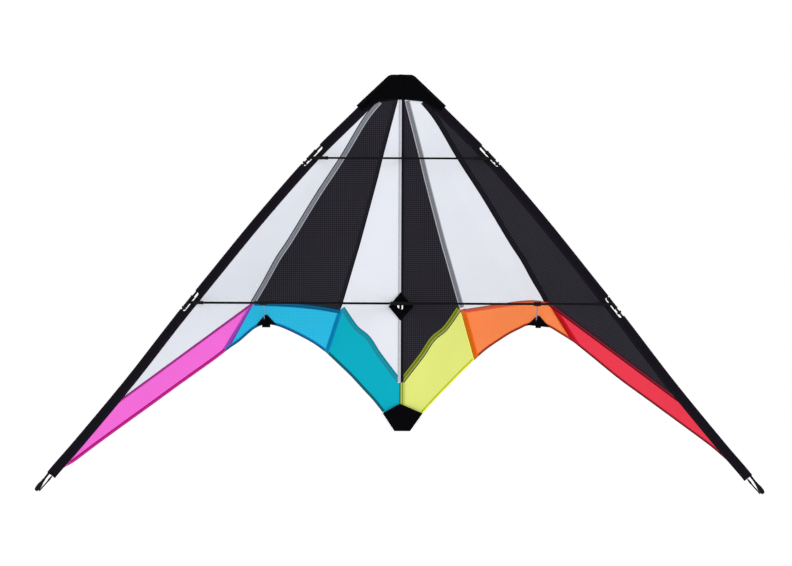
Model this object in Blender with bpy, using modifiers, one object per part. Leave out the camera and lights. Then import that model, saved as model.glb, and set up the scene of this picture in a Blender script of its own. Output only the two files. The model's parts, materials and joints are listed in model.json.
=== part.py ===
"""Two-line delta stunt kite, 1.6 m across, assembled and standing nose up.

Units are metres. +X is the viewer's right with the spreaders in front, -Y is the
front (spreader) side, +Z runs to the nose. The origin is the middle of the centre T.
"""

import math

import bmesh
import bpy
import numpy as np
from mathutils import Matrix, Vector

# ---------------------------------------------------------------- driving dimensions

GAP = 0.0003                    # clearance between neighbouring pieces
CLOTH = 0.0006                  # thickness of each sail panel's solid
WEBBING = 0.0008                # thickness of nose, tail and patch webbing

# Leading edge: outer fold of the sleeve on the right wing, as (x, z) from nose to tip.
LEADING_EDGE = [
    (0.0240, 0.5030), (0.1020, 0.4250), (0.2010, 0.3260), (0.3150, 0.1950),
    (0.4220, 0.0630), (0.5010, -0.0360), (0.6030, -0.1680), (0.7120, -0.3000),
    (0.7705, -0.3680), (0.8085, -0.4185),
]
SLEEVE_WIDTH = 0.022            # across the leading edge
SPAR_INSET = 0.0045             # spar axis, in from the sleeve's fold
SLEEVE_TOP = 0.484
SLEEVE_END = -0.3700            # height of the fold at the sleeve's cut end
NOTCH_DEPTH = 0.011             # how much of the sleeve's width a notch cuts away
UPPER_NOTCH = (0.349, 0.303)
LOWER_NOTCH = {"left": (0.027, -0.017), "right": (0.019, -0.0245)}

# Seams and edges of the right wing, as (x, z).
SEAM_OUTER = [(0.046, 0.444), (0.079, 0.403), (0.128, 0.321), (0.1835, 0.236),
              (0.242, 0.140), (0.271, 0.096), (0.301, 0.041), (0.3226, 0.004)]
SEAM_INNER = [(0.0075, 0.446), (0.0396, 0.322), (0.052, 0.271), (0.0868, 0.140),
              (0.0995, 0.096), (0.1264, 0.003), (0.1325, -0.014)]
INNER_HEM = [(0.1325, -0.014), (0.102, -0.057), (0.075, -0.080), (0.053, -0.113),
             (0.025, -0.150), (0.0065, -0.174)]
TIP_SEAM_END = (0.611, -0.214)
TRAIL_INNER = [(0.1636, -0.107), (0.109, -0.154), (0.081, -0.185), (0.058, -0.210),
               (0.042, -0.241), (0.0065, -0.243)]
TRAIL_MIDDLE = [(0.1636, -0.107), (0.217, -0.076), (0.253, -0.0565), (0.279, -0.0465),
                (0.301, -0.0455), (0.325, -0.0465), (0.354, -0.070), (0.378, -0.087)]
TRAIL_OUTER = [(0.378, -0.087), (0.420, -0.124), (0.484, -0.168), (0.590, -0.245),
               (0.682, -0.310), (0.7150, -0.3400)]

# Sail depth: the wing bellies back between the spine and the leading edge.
FOLD_X = 0.0036                 # fold line of each wing, beside the spine
PANEL_X = 0.0045                # where the cloth starts beside the fold line
SAIL_DEPTH = 0.100
SAIL_TOP_Z = 0.452
STANDOFF_X = 0.301
TRAIL_Z = -0.0455               # trailing edge at the standoff
RIDGE_BLEND = 0.25
BILLOW = 0.25

# Rods
SPAR_R = 0.0025
SPINE_R = 0.00275
SPINE_Y = 0.0042
SPINE_TOP = 0.492
SPINE_BOTTOM = -0.270
SPREADER_R = 0.0025
UPPER_R = 0.00225
STANDOFF_R = 0.001
SPAR_TOP_Z = 0.486
SPAR_JOINT_Z = -0.085
SPAR_END_Z = -0.4105
FERRULE_LENGTH = 0.070

# Fittings
LOWER_Z = 0.0
LOWER_Y = -0.0065               # lower spreader axis
UPPER_Z = 0.319
UPPER_Y = -0.0128               # upper spreader axis
TUBE_R = 0.0046
TUBE_LENGTH = 0.033
ARM_R = 0.0039
SOCKET_DEPTH = 0.020
LOWER_PIVOT_X = 0.4565
LOWER_ARM_END = 0.433
UPPER_PIVOT_X = 0.1890
UPPER_ARM_END = 0.160
STOPPER_LENGTH = 0.005
POST_REAR = -0.0013             # back of the posts, just in front of the sleeve
T_HALF = 0.0225
T_R = 0.0042
SLOT_X = 0.0072                 # window in the diamond patch for the T and the bridle
PANEL_SLOT_X = 0.0102           # the cloth behind it is cut wider, to clear the T when a wing folds
SLOT_TOP = 0.0050
SLOT_BOTTOM = -0.0145
CLIP_R = 0.0037
CLIP_WIDTH = 0.015
CLIP_STUB = 0.009
STANDOFF_BACK = 0.0852          # depth of the standoff's rear end
PATCH_PROUD = 0.0030            # trailing patch, in front of the sail's middle surface

SIDES = {"left": -1, "right": 1}

# ---------------------------------------------------------------- scene and materials


def clear_scene():
    for obj in list(bpy.data.objects):
        bpy.data.objects.remove(obj, do_unlink=True)


def make_collection(name, helpers=False):
    collection = bpy.data.collections.new(name)
    bpy.context.scene.collection.children.link(collection)
    collection.hide_render = helpers
    return collection


def make_material(name, colour, roughness, metallic=0.0):
    material = bpy.data.materials.new(name)
    material.use_nodes = True
    shader = material.node_tree.nodes["Principled BSDF"]
    shader.inputs["Base Color"].default_value = (*colour, 1.0)
    shader.inputs["Roughness"].default_value = roughness
    shader.inputs["Metallic"].default_value = metallic
    return material


def finish_object(obj, name, material, holder=None):
    """Names the piece, gives it its material and hangs it on the empty of its body."""
    obj.name = name
    obj.data.materials.clear()
    obj.data.materials.append(material)
    if holder is not None:
        obj.parent = holder
        obj.matrix_parent_inverse = holder.matrix_world.inverted()
    return obj


def link_mesh(name, mesh, collection):
    obj = bpy.data.objects.new(name, mesh)
    collection.objects.link(obj)
    return obj


def make_empty(name, location, parent=None):
    empty = bpy.data.objects.new(name, None)
    parts.objects.link(empty)
    empty.location = location
    bpy.context.view_layer.update()
    if parent is not None:
        empty.parent = parent
        empty.matrix_parent_inverse = parent.matrix_world.inverted()
        bpy.context.view_layer.update()
    return empty


# ---------------------------------------------------------------- curves and surfaces


def smooth_path(points, per_span=12):
    """A Catmull-Rom curve through the points, as an array."""
    knots = np.array(points, float)
    knots = np.vstack([2 * knots[0] - knots[1], knots, 2 * knots[-1] - knots[-2]])
    path = []
    for a, b, c, d in zip(knots, knots[1:], knots[2:], knots[3:]):
        for t in np.arange(per_span) / per_span:
            path.append(0.5 * (2 * b + (c - a) * t + (2 * a - 5 * b + 4 * c - d) * t ** 2
                               + (3 * b - a - 3 * c + d) * t ** 3))
    return np.vstack([path, knots[-2]])


def sample(points, count):
    """Evenly spaced points along a line of straight runs."""
    points = np.array(points, float)
    run = np.hypot(*np.diff(points, axis=0).T)
    along = np.concatenate([[0.0], np.cumsum(run)])
    wanted = np.linspace(0.0, along[-1], count)
    return np.column_stack([np.interp(wanted, along, points[:, i]) for i in (0, 1)])


EDGE = smooth_path(LEADING_EDGE)
EDGE_RUN = np.gradient(EDGE, axis=0)
EDGE_RUN /= np.linalg.norm(EDGE_RUN, axis=1)[:, None]
EDGE_IN = np.column_stack([EDGE_RUN[:, 1], -EDGE_RUN[:, 0]])   # towards the sail


def edge_point(height, inset):
    """The point (x, z) that lies inset from the fold, square to the fold's point at height."""
    at = [np.interp(-height, -EDGE[:, 1], column) for column in (*EDGE.T, *EDGE_IN.T)]
    return np.array([at[0] + inset * at[2], at[1] + inset * at[3]])


def edge_line(inset, top, bottom, count):
    """Points of the line that runs inset from the fold, between two heights of its own."""
    line = EDGE + inset * EDGE_IN
    heights = np.linspace(top, bottom, count)
    return np.column_stack([np.interp(-heights, -line[:, 1], line[:, 0]), heights])


def edge_direction(height):
    run = np.array([np.interp(-height, -EDGE[:, 1], column) for column in EDGE_RUN.T])
    return run / np.linalg.norm(run)


def smaller(a, b):
    """The smaller of two numbers, rounded off where they meet."""
    near = max(RIDGE_BLEND - abs(a - b), 0.0) / RIDGE_BLEND
    return min(a, b) - near * near * RIDGE_BLEND / 4


def swell(part):
    part = min(max(part, 0.0), 1.0)
    return part * (1 + BILLOW * (1 - part))


def sail_y(x, z):
    """Depth of the sail: a ridge from the nose to the standoff, falling to both edges."""
    down = (SAIL_TOP_Z - z) / (SAIL_TOP_Z - TRAIL_Z)
    ridge_x = FOLD_X + (STANDOFF_X - FOLD_X) * max(down, 0.002)
    outer_x = edge_line(SLEEVE_WIDTH, z, z, 1)[0, 0]
    inner_part = swell((x - FOLD_X) / (ridge_x - FOLD_X))
    outer_part = swell((outer_x - x) / max(outer_x - ridge_x, 0.001))
    return SAIL_DEPTH * min(max(down, 0.0), 1.0) * max(smaller(inner_part, outer_part), 0.0)


# ---------------------------------------------------------------- shape builders


def sheet_object(name, grid, side, thickness, depth, material, holder):
    """A thin solid over a grid of (x, z) points, lying at the depth that depth(x, z) gives."""
    rows, columns = grid.shape[:2]
    bm = bmesh.new()
    bmesh.ops.create_grid(bm, x_segments=columns - 1, y_segments=rows - 1, size=0.5)
    bm.verts.ensure_lookup_table()
    for vert in bm.verts:
        row = round((vert.co.y + 0.5) * (rows - 1))
        column = round((vert.co.x + 0.5) * (columns - 1))
        x, z = grid[row, column]
        vert.co = (side * x, depth(x, z), z)
    mesh = bpy.data.meshes.new(name)
    bm.to_mesh(mesh)
    bm.free()
    obj = link_mesh(name, mesh, parts)
    shell = obj.modifiers.new("thickness", "SOLIDIFY")
    shell.thickness = thickness
    shell.offset = 0.0
    return finish_object(obj, name, material, holder)


def pull_in(grid, distance):
    """Moves a grid's border points towards their inner neighbours, to leave a seam gap."""
    grid = grid.copy()
    for axis in (0, 1):
        view = grid if axis == 0 else grid.transpose(1, 0, 2)
        for end, inner in ((0, 1), (-1, -2)):
            step = view[inner] - view[end]
            length = np.linalg.norm(step, axis=1)[:, None]
            view[end] += step / length * np.minimum(distance, 0.4 * length)
    return grid


def panel(name, first, second, columns, side, material, holder):
    """A sail panel ruled between two borders that have the same number of points."""
    share = np.linspace(0.0, 1.0, columns)[None, :, None]
    grid = np.array(first)[:, None, :] * (1 - share) + np.array(second)[:, None, :] * share
    return sheet_object(name, pull_in(grid, GAP), side, CLOTH, sail_y, material, holder)


def rod(name, points, radius, material, holder, resolution=2):
    """A round rod or cord along a line of points."""
    curve = bpy.data.curves.new(name, "CURVE")
    curve.dimensions = "3D"
    curve.bevel_depth = radius
    curve.bevel_resolution = resolution
    curve.use_fill_caps = True
    spline = curve.splines.new("POLY")
    spline.points.add(len(points) - 1)
    for point, place in zip(spline.points, points):
        point.co = (*place, 1.0)
    obj = link_mesh(name, curve, parts)
    return finish_object(obj, name, material, holder)


def along(direction):
    """Rotation that turns +Z to a direction."""
    return Vector(direction).to_track_quat("Z", "Y").to_matrix().to_4x4()


def cylinder(name, start, end, radius, segments=16, collection=None):
    """A capped cylinder between two points."""
    start, end = Vector(start), Vector(end)
    bm = bmesh.new()
    bmesh.ops.create_cone(bm, cap_ends=True, segments=segments, radius1=radius,
                          radius2=radius, depth=(end - start).length)
    mesh = bpy.data.meshes.new(name)
    bm.to_mesh(mesh)
    bm.free()
    mesh.shade_smooth()
    mesh.set_sharp_from_angle(angle=math.radians(40))
    obj = link_mesh(name, mesh, collection or parts)
    obj.matrix_world = Matrix.Translation((start + end) / 2) @ along(end - start)
    return obj


def block(name, low, high, collection=None):
    """A box between two corners."""
    low, high = Vector(low), Vector(high)
    bm = bmesh.new()
    bmesh.ops.create_cube(bm, size=1.0)
    bmesh.ops.scale(bm, vec=high - low, verts=bm.verts)
    mesh = bpy.data.meshes.new(name)
    bm.to_mesh(mesh)
    bm.free()
    obj = link_mesh(name, mesh, collection or parts)
    obj.location = (low + high) / 2
    return obj


def combine(target, helpers, operation):
    """Joins helpers to a piece, or cuts them from it, and keeps them as wire guides."""
    for helper in helpers:
        modifier = target.modifiers.new(helper.name, "BOOLEAN")
        modifier.operation = operation
        modifier.object = helper
        helper.hide_render = True
        helper.display_type = "WIRE"
    return target


def ring(name, centre, direction, inner, outer, length, material, holder, steps=16):
    """A plain tube, turned from its wall's section."""
    half = length / 2
    corners = [(outer, half), (outer, -half), (inner, -half), (inner, half)]
    bm = bmesh.new()
    verts = [bm.verts.new((x, 0.0, z)) for x, z in corners]
    for a, b in zip(verts, verts[1:] + verts[:1]):
        bm.edges.new((a, b))
    mesh = bpy.data.meshes.new(name)
    bm.to_mesh(mesh)
    bm.free()
    obj = link_mesh(name, mesh, parts)
    screw = obj.modifiers.new("turn", "SCREW")
    screw.steps = steps
    screw.render_steps = steps
    screw.use_merge_vertices = True
    screw.merge_threshold = 0.00001
    obj.matrix_world = Matrix.Translation(centre) @ along(direction)
    return finish_object(obj, name, material, holder)


def plate(name, outline, y, thickness, material, holder, hole=None):
    """A flat piece in the X-Z plane from its outline of (x, z) points, with at most one hole."""
    curve = bpy.data.curves.new(name, "CURVE")
    curve.dimensions = "2D"
    curve.fill_mode = "BOTH"
    curve.extrude = thickness / 2
    for loop in filter(None, (outline, hole)):
        spline = curve.splines.new("POLY")
        spline.points.add(len(loop) - 1)
        spline.use_cyclic_u = True
        for point, (x, z) in zip(spline.points, loop):
            point.co = (x, z, 0.0, 1.0)
    obj = link_mesh(name, curve, parts)
    obj.matrix_world = Matrix.Translation((0, y, 0)) @ Matrix.Rotation(math.pi / 2, 4, "X")
    return finish_object(obj, name, material, holder)


def in_space(flat, side, y=0.0):
    return (side * flat[0], y, flat[1])


# ---------------------------------------------------------------- sub-parts


def make_spars(side_name, side, holder):
    """Leading-edge rod in two lengths, butted in a ferrule."""
    middle = SPAR_JOINT_Z
    top = edge_line(SPAR_INSET, SPAR_TOP_Z, middle + GAP, 30)
    low = edge_line(SPAR_INSET, middle - GAP, SPAR_END_Z, 18)
    for name, line in (("upper", top), ("lower", low)):
        points = [in_space(p, side) for p in line]
        rod(f"{side_name}_{name}_spar", points, SPAR_R, rod_black, holder)
    run = edge_direction(middle)
    centre = in_space(edge_line(SPAR_INSET, middle, middle, 1)[0], side)
    ring(f"{side_name}_spar_ferrule", centre, in_space(run, side), SPAR_R + GAP,
         SPAR_R + 0.0008, FERRULE_LENGTH, ferrule_metal, holder)


def make_sleeve(side_name, side, holder):
    """Folded leading-edge sleeve: a strip bent round the spar, with two notches for the fittings."""
    radius = SPAR_INSET - 0.00025
    section = [(SLEEVE_WIDTH, -0.00045), (NOTCH_DEPTH, -0.0007)]
    for turn in np.radians([125, 90, 45, 0, -45, -90, -125]):
        section.append((SPAR_INSET - radius * math.cos(turn), -radius * math.sin(turn)))
    section += [(NOTCH_DEPTH, 0.0007), (SLEEVE_WIDTH, 0.00045)]
    notches = (UPPER_NOTCH, LOWER_NOTCH[side_name])
    heights = sorted({SLEEVE_TOP, SLEEVE_END, *notches[0], *notches[1],
                      *np.linspace(SLEEVE_TOP, SLEEVE_END, 22)[1:-1].round(4)}, reverse=True)
    bm = bmesh.new()
    stations = []
    for height in heights:
        row = []
        for inset, y in section:
            x, z = edge_point(height, inset)
            row.append(bm.verts.new((side * x, y, z)))
        stations.append(row)
    for i in range(len(heights) - 1):
        middle = (heights[i] + heights[i + 1]) / 2
        cut = any(low < middle < high for high, low in notches)
        for j in range(len(section) - 1):
            if cut and 1 <= j <= len(section) - 3:
                continue
            corners = (stations[i][j], stations[i][j + 1],
                       stations[i + 1][j + 1], stations[i + 1][j])
            bm.faces.new(corners)
    loose = [v for v in bm.verts if not v.link_faces]
    bmesh.ops.delete(bm, geom=loose, context="VERTS")
    mesh = bpy.data.meshes.new("sleeve")
    bm.to_mesh(mesh)
    bm.free()
    obj = link_mesh("sleeve", mesh, parts)
    shell = obj.modifiers.new("thickness", "SOLIDIFY")
    shell.thickness = 0.0005
    shell.offset = 0.0
    finish_object(obj, f"{side_name}_leading_edge_sleeve", webbing_black, holder)


def make_panels(side_name, side, holder):
    """The six cloth panels of one wing."""
    cloth = panel_cloth[side_name]
    outer_seam = sample(SEAM_OUTER, 11)
    inner_seam = sample(SEAM_INNER, 11)
    inner_hem = sample(INNER_HEM, 7)
    sleeve_inner = SLEEVE_WIDTH + 2 * GAP

    leading_outer = edge_line(sleeve_inner, 0.444, TIP_SEAM_END[1], 11)
    panel(f"{side_name}_leading_panel", outer_seam, leading_outer, 6, side,
          cloth["leading"], holder)
    panel(f"{side_name}_mid_panel", inner_seam, outer_seam, 6, side, cloth["mid"], holder)

    border = np.vstack([inner_seam, inner_hem[1:]])
    centre = np.column_stack([np.full(len(border), PANEL_X), border[:, 1]])
    inner = panel(f"{side_name}_inner_panel", centre, border, 4, side, cloth["inner"], holder)
    combine(inner, [t_slot], "DIFFERENCE")

    tip_top = np.vstack([sample([SEAM_OUTER[-1], TIP_SEAM_END], 6),
                         edge_line(sleeve_inner, TIP_SEAM_END[1], -0.337, 5)[1:]])
    tip_low = sample(TRAIL_OUTER, len(tip_top))
    panel(f"{side_name}_tip_panel", tip_top, tip_low, 5, side, cloth["tip"], holder)

    mid_top = sample([SEAM_INNER[-1], SEAM_OUTER[-1]], 14)
    mid_low = sample(TRAIL_MIDDLE, 14)
    panel(f"{side_name}_mid_trailing_panel", mid_top, mid_low, 5, side,
          cloth["mid_trailing"], holder)

    low = sample(TRAIL_INNER, len(inner_hem))
    panel(f"{side_name}_inner_trailing_panel", inner_hem, low, 4, side,
          cloth["inner_trailing"], holder)


def make_connector(side_name, side, holder, level):
    """Moulded fitting on the spar: a tube along the leading edge with a post for the arm."""
    name = f"{side_name}_{level['name']}_connector"
    centre = edge_line(SPAR_INSET, level["z"], level["z"], 1)[0]
    run = edge_direction(level["z"])
    half = run * TUBE_LENGTH / 2
    body = cylinder(name, in_space(centre - half, side), in_space(centre + half, side), TUBE_R)
    pivot = (side * level["pivot_x"], 0.0, level["z"])
    back = level["y"] + ARM_R + GAP
    post = cylinder(f"{name}_post", (pivot[0], POST_REAR, pivot[2]),
                    (pivot[0], back, pivot[2]), ARM_R, collection=guides)
    reach = sorted((pivot[0], side * (centre[0] - 0.002)))
    link = block(f"{name}_link", (reach[0], back, pivot[2] - 0.003),
                 (reach[1], POST_REAR, pivot[2] + 0.003), guides)
    bore = cylinder(f"{name}_bore", in_space(centre - 2 * half, side),
                    in_space(centre + 2 * half, side), SPAR_R + GAP, collection=guides)
    combine(body, [post, link], "UNION")
    combine(body, [bore], "DIFFERENCE")
    finish_object(body, name, moulded_black, holder)

    stop_at = centre + run * (TUBE_LENGTH / 2 + GAP + STOPPER_LENGTH / 2)
    ring(f"{side_name}_{level['name']}_stopper", in_space(stop_at, side),
         in_space(run, side), SPAR_R + GAP, TUBE_R, STOPPER_LENGTH, moulded_black, holder)


def make_arm(side_name, side, holder, level):
    """The fitting's socket arm, which turns with the spreader on the moulded post."""
    name = f"{side_name}_{level['name']}_arm"
    pivot = Vector((side * level["pivot_x"], level["y"], level["z"]))
    mouth = Vector((side * level["arm_end"], level["y"], level["z"]))
    knuckle = cylinder(name, pivot - Vector((0, ARM_R, 0)), pivot + Vector((0, ARM_R, 0)), ARM_R)
    barrel = cylinder(f"{name}_barrel", pivot, mouth, ARM_R - 0.0001, collection=guides)
    inward = (mouth - pivot).normalized()
    bore = cylinder(f"{name}_bore", mouth - inward * SOCKET_DEPTH, mouth + inward * 0.01,
                    level["rod_r"] + GAP, collection=guides)
    combine(knuckle, [barrel], "UNION")
    combine(knuckle, [bore], "DIFFERENCE")
    finish_object(knuckle, name, moulded_black, holder)


def make_lower_spreader(side_name, side, holder):
    """Lower spreader rod with the standoff's clip on it."""
    inner = T_HALF + GAP
    outer = LOWER_ARM_END + SOCKET_DEPTH - 2 * GAP
    rod(f"{side_name}_lower_spreader", [(side * inner, LOWER_Y, LOWER_Z),
                                        (side * outer, LOWER_Y, LOWER_Z)],
        SPREADER_R, rod_black, holder, resolution=4)
    name = f"{side_name}_standoff_clip"
    x = side * STANDOFF_X
    half = CLIP_WIDTH / 2
    body = cylinder(name, (x - half, LOWER_Y, LOWER_Z), (x + half, LOWER_Y, LOWER_Z), CLIP_R)
    centre = Vector((x, LOWER_Y, LOWER_Z))
    aim = standoff_rear(side) - centre
    stub = cylinder(f"{name}_stub", centre, centre + aim.normalized() * CLIP_STUB,
                    0.0022, collection=guides)
    bore = cylinder(f"{name}_bore", (x - CLIP_WIDTH, LOWER_Y, LOWER_Z),
                    (x + CLIP_WIDTH, LOWER_Y, LOWER_Z), SPREADER_R + GAP, collection=guides)
    combine(body, [stub], "UNION")
    combine(body, [bore], "DIFFERENCE")
    finish_object(body, name, moulded_black, holder)


def standoff_rear(side):
    return Vector((side * STANDOFF_X, STANDOFF_BACK, TRAIL_Z + 0.007))


def make_standoff(side_name, side, holder):
    """Standoff rod from the clip back to the trailing edge, with its rubber end."""
    front = Vector((side * STANDOFF_X, LOWER_Y, LOWER_Z))
    rear = standoff_rear(side)
    aim = (rear - front).normalized()
    rod(f"{side_name}_standoff_rod",
        [front + aim * (CLIP_STUB + GAP), rear - aim * 0.0035],
        STANDOFF_R, rod_black, holder)
    name = f"{side_name}_standoff_end"
    cap = cylinder(name, rear - aim * 0.010, rear, 0.0022, 12)
    bore = cylinder(f"{name}_bore", rear - aim * 0.012, rear - aim * 0.0032,
                    STANDOFF_R + GAP, 12, guides)
    combine(cap, [bore], "DIFFERENCE")
    finish_object(cap, name, moulded_black, holder)


def make_trailing_patch(side_name, side, holder):
    """Triangular webbing patch at the standoff's foot, in front of the cloth."""
    apex = sample([(STANDOFF_X - 0.002, -0.027), (STANDOFF_X + 0.002, -0.027)], 5)
    base = sample([(STANDOFF_X - 0.023, -0.0505), (STANDOFF_X + 0.023, -0.0505)], 5)
    share = np.linspace(0, 1, 4)[:, None, None]
    grid = apex[None] * (1 - share) + base[None] * share
    sheet_object(f"{side_name}_trailing_patch", grid, side, CLOTH,
                 lambda x, z: sail_y(x, z) - PATCH_PROUD, webbing_black, holder)


def make_tip(side_name, side, holder):
    """Nock on the spar's end and the elastic cord that draws the sail to it."""
    end = edge_line(SPAR_INSET, SPAR_END_Z, SPAR_END_Z, 1)[0]
    run = edge_direction(SPAR_END_Z)
    across = np.array([run[1], -run[0]])
    name = f"{side_name}_nock"
    body = cylinder(name, in_space(end - run * 0.014, side), in_space(end + run * 0.005, side),
                    0.0042)
    bore = cylinder(f"{name}_bore", in_space(end - run * 0.03, side),
                    in_space(end + run * GAP, side), SPAR_R + GAP, collection=guides)
    slot_mid = Vector(in_space(end + run * 0.0055, side))
    slot = block(f"{name}_slot", (-0.01, -0.0012, -0.0022), (0.01, 0.0012, 0.0022), guides)
    slot.matrix_world = Matrix.Translation(slot_mid) @ along(in_space(run, side))
    combine(body, [bore, slot], "DIFFERENCE")
    finish_object(body, name, moulded_black, holder)

    sleeve_corner = edge_point(SLEEVE_END, 0.014) + edge_direction(SLEEVE_END) * 0.0008
    route = [sleeve_corner, end - run * 0.020 + across * 0.0088,
             end - run * 0.004 + across * 0.0072, end + run * 0.0035 + across * 0.0058]
    rod(f"{side_name}_tip_cord", [in_space(p, side) for p in smooth_path(route, 4)],
        0.0011, cord_black, holder)


def make_nose_half(side_name, side, holder):
    """One side of the nose webbing: a pouch open below, folded over the spar's end."""
    front_y, back_y = -0.0055, 0.0055
    rim = [(0.0180, 0.5025), (0.0250, 0.5025), (0.0965, 0.4365)]
    hem = [(0.0840, 0.4240), (0.0460, 0.4440)]
    front = [(FOLD_X + 0.0007, 0.5025), *rim, *hem, (FOLD_X + 0.0007, 0.4500)]
    back = [*rim, *hem, (0.0180, 0.4490)]
    bm = bmesh.new()
    loops = []
    for outline, y in ((front, front_y), (back, back_y)):
        verts = [bm.verts.new((side * x, y, z)) for x, z in outline]
        bm.faces.new(verts)
        loops.append(verts)
    near, far = loops[0][1:4], loops[1][:3]
    for a, b, c, d in zip(near, near[1:], far[1:], far):
        bm.faces.new((a, b, c, d))
    bmesh.ops.recalc_face_normals(bm, faces=bm.faces)
    mesh = bpy.data.meshes.new("nose")
    bm.to_mesh(mesh)
    bm.free()
    obj = link_mesh("nose", mesh, parts)
    shell = obj.modifiers.new("thickness", "SOLIDIFY")
    shell.thickness = WEBBING
    shell.offset = 0.0
    shell.use_even_offset = True
    finish_object(obj, f"{side_name}_nose_webbing", webbing_black, holder)


def folded_strap(name, path, width, material, holder):
    """A strap across the centre line that follows a path of (y, z) points."""
    bm = bmesh.new()
    rows = [[bm.verts.new((x, y, z)) for x in (-width / 2, width / 2)] for y, z in path]
    for (a, b), (c, d) in zip(rows, rows[1:]):
        bm.faces.new((a, b, d, c))
    mesh = bpy.data.meshes.new(name)
    bm.to_mesh(mesh)
    bm.free()
    obj = link_mesh(name, mesh, parts)
    shell = obj.modifiers.new("thickness", "SOLIDIFY")
    shell.thickness = WEBBING
    shell.offset = 0.0
    shell.use_even_offset = True
    return finish_object(obj, name, material, holder)


def make_spine(holder):
    """Spine rod behind the sail, its two end caps, and the webbing that holds them."""
    rod("spine_rod", [(0, SPINE_Y, SPINE_BOTTOM), (0, SPINE_Y, SPINE_TOP)], SPINE_R,
        rod_black, holder, resolution=4)
    for name, end, way in (("spine_nose_cap", SPINE_TOP, 1), ("spine_tail_cap", SPINE_BOTTOM, -1)):
        cap = cylinder(name, (0, SPINE_Y, end - way * 0.010), (0, SPINE_Y, end + way * 0.002),
                       SPINE_R + 0.0006)
        bore = cylinder(f"{name}_bore", (0, SPINE_Y, end - way * 0.020),
                        (0, SPINE_Y, end + way * GAP), SPINE_R + 0.00025, collection=guides)
        combine(cap, [bore], "DIFFERENCE")
        finish_object(cap, name, moulded_black, holder)
    folded_strap("nose_webbing_middle", [(-0.0055, 0.450), (-0.0055, 0.5025), (0.0085, 0.5025),
                                         (0.0085, 0.455)], 2 * FOLD_X - 0.0008,
                 webbing_black, holder)
    folded_strap("tail_pocket", [(0.0090, -0.247), (0.0090, -0.2765), (0.0004, -0.2765)],
                 0.016, webbing_black, holder)


def make_centre(holder):
    """Centre seam, diamond patch, tail patch and the centre T."""
    seam_x = FOLD_X - 0.0004
    spans = (("centre_seam_upper", 0.448, SLOT_TOP + GAP),
             ("centre_seam_lower", SLOT_BOTTOM - GAP, -0.243))
    for name, top, bottom in spans:
        outline = [(-seam_x, bottom), (seam_x, bottom), (seam_x, top), (-seam_x, top)]
        plate(name, outline, 0.0, CLOTH, webbing_black, holder)
    diamond = [(0.026, -0.008), (0, 0.0215), (-0.026, -0.008), (0, -0.0375)]
    window = [(SLOT_X, SLOT_TOP), (SLOT_X, -0.0110), (0.0035, SLOT_BOTTOM),
              (-0.0035, SLOT_BOTTOM), (-SLOT_X, -0.0110), (-SLOT_X, SLOT_TOP)]
    plate("centre_patch", diamond, -0.0011, WEBBING, webbing_black, holder, hole=window)
    pentagon = [(0, -0.220), (0.0407, -0.241), (0.0164, -0.280), (-0.0164, -0.280),
                (-0.0407, -0.241)]
    plate("tail_patch", pentagon, -0.0012, WEBBING, webbing_black, holder)

    body = cylinder("centre_t", (-T_HALF, LOWER_Y, 0), (T_HALF, LOWER_Y, 0), T_R)
    neck = block("centre_t_neck", (-0.0030, LOWER_Y, -0.0035), (0.0030, SPINE_Y - 0.001, 0.0035),
                 guides)
    clamp = cylinder("centre_t_clamp", (0, SPINE_Y, -0.0045), (0, SPINE_Y, 0.0045),
                     0.0044, collection=guides)
    bore = cylinder("centre_t_bore", (0, SPINE_Y, -0.02), (0, SPINE_Y, 0.02),
                    SPINE_R + GAP, collection=guides)
    sockets = [cylinder(f"centre_t_socket_{name}", (side * 0.005, LOWER_Y, 0),
                        (side * 0.030, LOWER_Y, 0), SPREADER_R + GAP, collection=guides)
               for name, side in SIDES.items()]
    combine(body, [neck, clamp], "UNION")
    combine(body, [bore, *sockets], "DIFFERENCE")
    finish_object(body, "centre_t", moulded_black, holder)


# ---------------------------------------------------------------- assembly

clear_scene()
parts = make_collection("delta_kite")
guides = make_collection("cutters", helpers=True)

rod_black = make_material("rod_black", (0.020, 0.020, 0.023), 0.35)
moulded_black = make_material("moulded_black", (0.022, 0.021, 0.024), 0.55)
webbing_black = make_material("webbing_black", (0.012, 0.011, 0.014), 0.85)
cord_black = make_material("cord_black", (0.015, 0.015, 0.017), 0.80)
ferrule_metal = make_material("ferrule_metal", (0.72, 0.60, 0.34), 0.30, 1.0)

cloth_white = make_material("cloth_white", (0.82, 0.85, 0.88), 0.60)
cloth_black = make_material("cloth_black", (0.022, 0.020, 0.030), 0.60)
panel_cloth = {
    "left": {
        "leading": cloth_white, "mid": cloth_black, "inner": cloth_white,
        "tip": make_material("cloth_pink", (0.91, 0.10, 0.72), 0.60),
        "mid_trailing": make_material("cloth_blue", (0.03, 0.48, 0.83), 0.60),
        "inner_trailing": make_material("cloth_teal", (0.0, 0.41, 0.55), 0.60),
    },
    "right": {
        "leading": cloth_black, "mid": cloth_white, "inner": cloth_black,
        "tip": make_material("cloth_red", (0.87, 0.03, 0.08), 0.60),
        "mid_trailing": make_material("cloth_orange", (1.0, 0.22, 0.05), 0.60),
        "inner_trailing": make_material("cloth_lemon", (0.75, 0.83, 0.20), 0.60),
    },
}

levels = {
    "lower": {"name": "lower", "z": LOWER_Z, "y": LOWER_Y, "pivot_x": LOWER_PIVOT_X,
              "arm_end": LOWER_ARM_END, "rod_r": SPREADER_R},
    "upper": {"name": "upper", "z": UPPER_Z, "y": UPPER_Y, "pivot_x": UPPER_PIVOT_X,
              "arm_end": UPPER_ARM_END, "rod_r": UPPER_R},
}

t_slot = block("t_slot", (-PANEL_SLOT_X, -0.02, SLOT_BOTTOM), (PANEL_SLOT_X, 0.02, SLOT_TOP), guides)

frame_empty = make_empty("spine_frame", (0, 0, 0))
make_spine(frame_empty)
make_centre(frame_empty)

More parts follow.
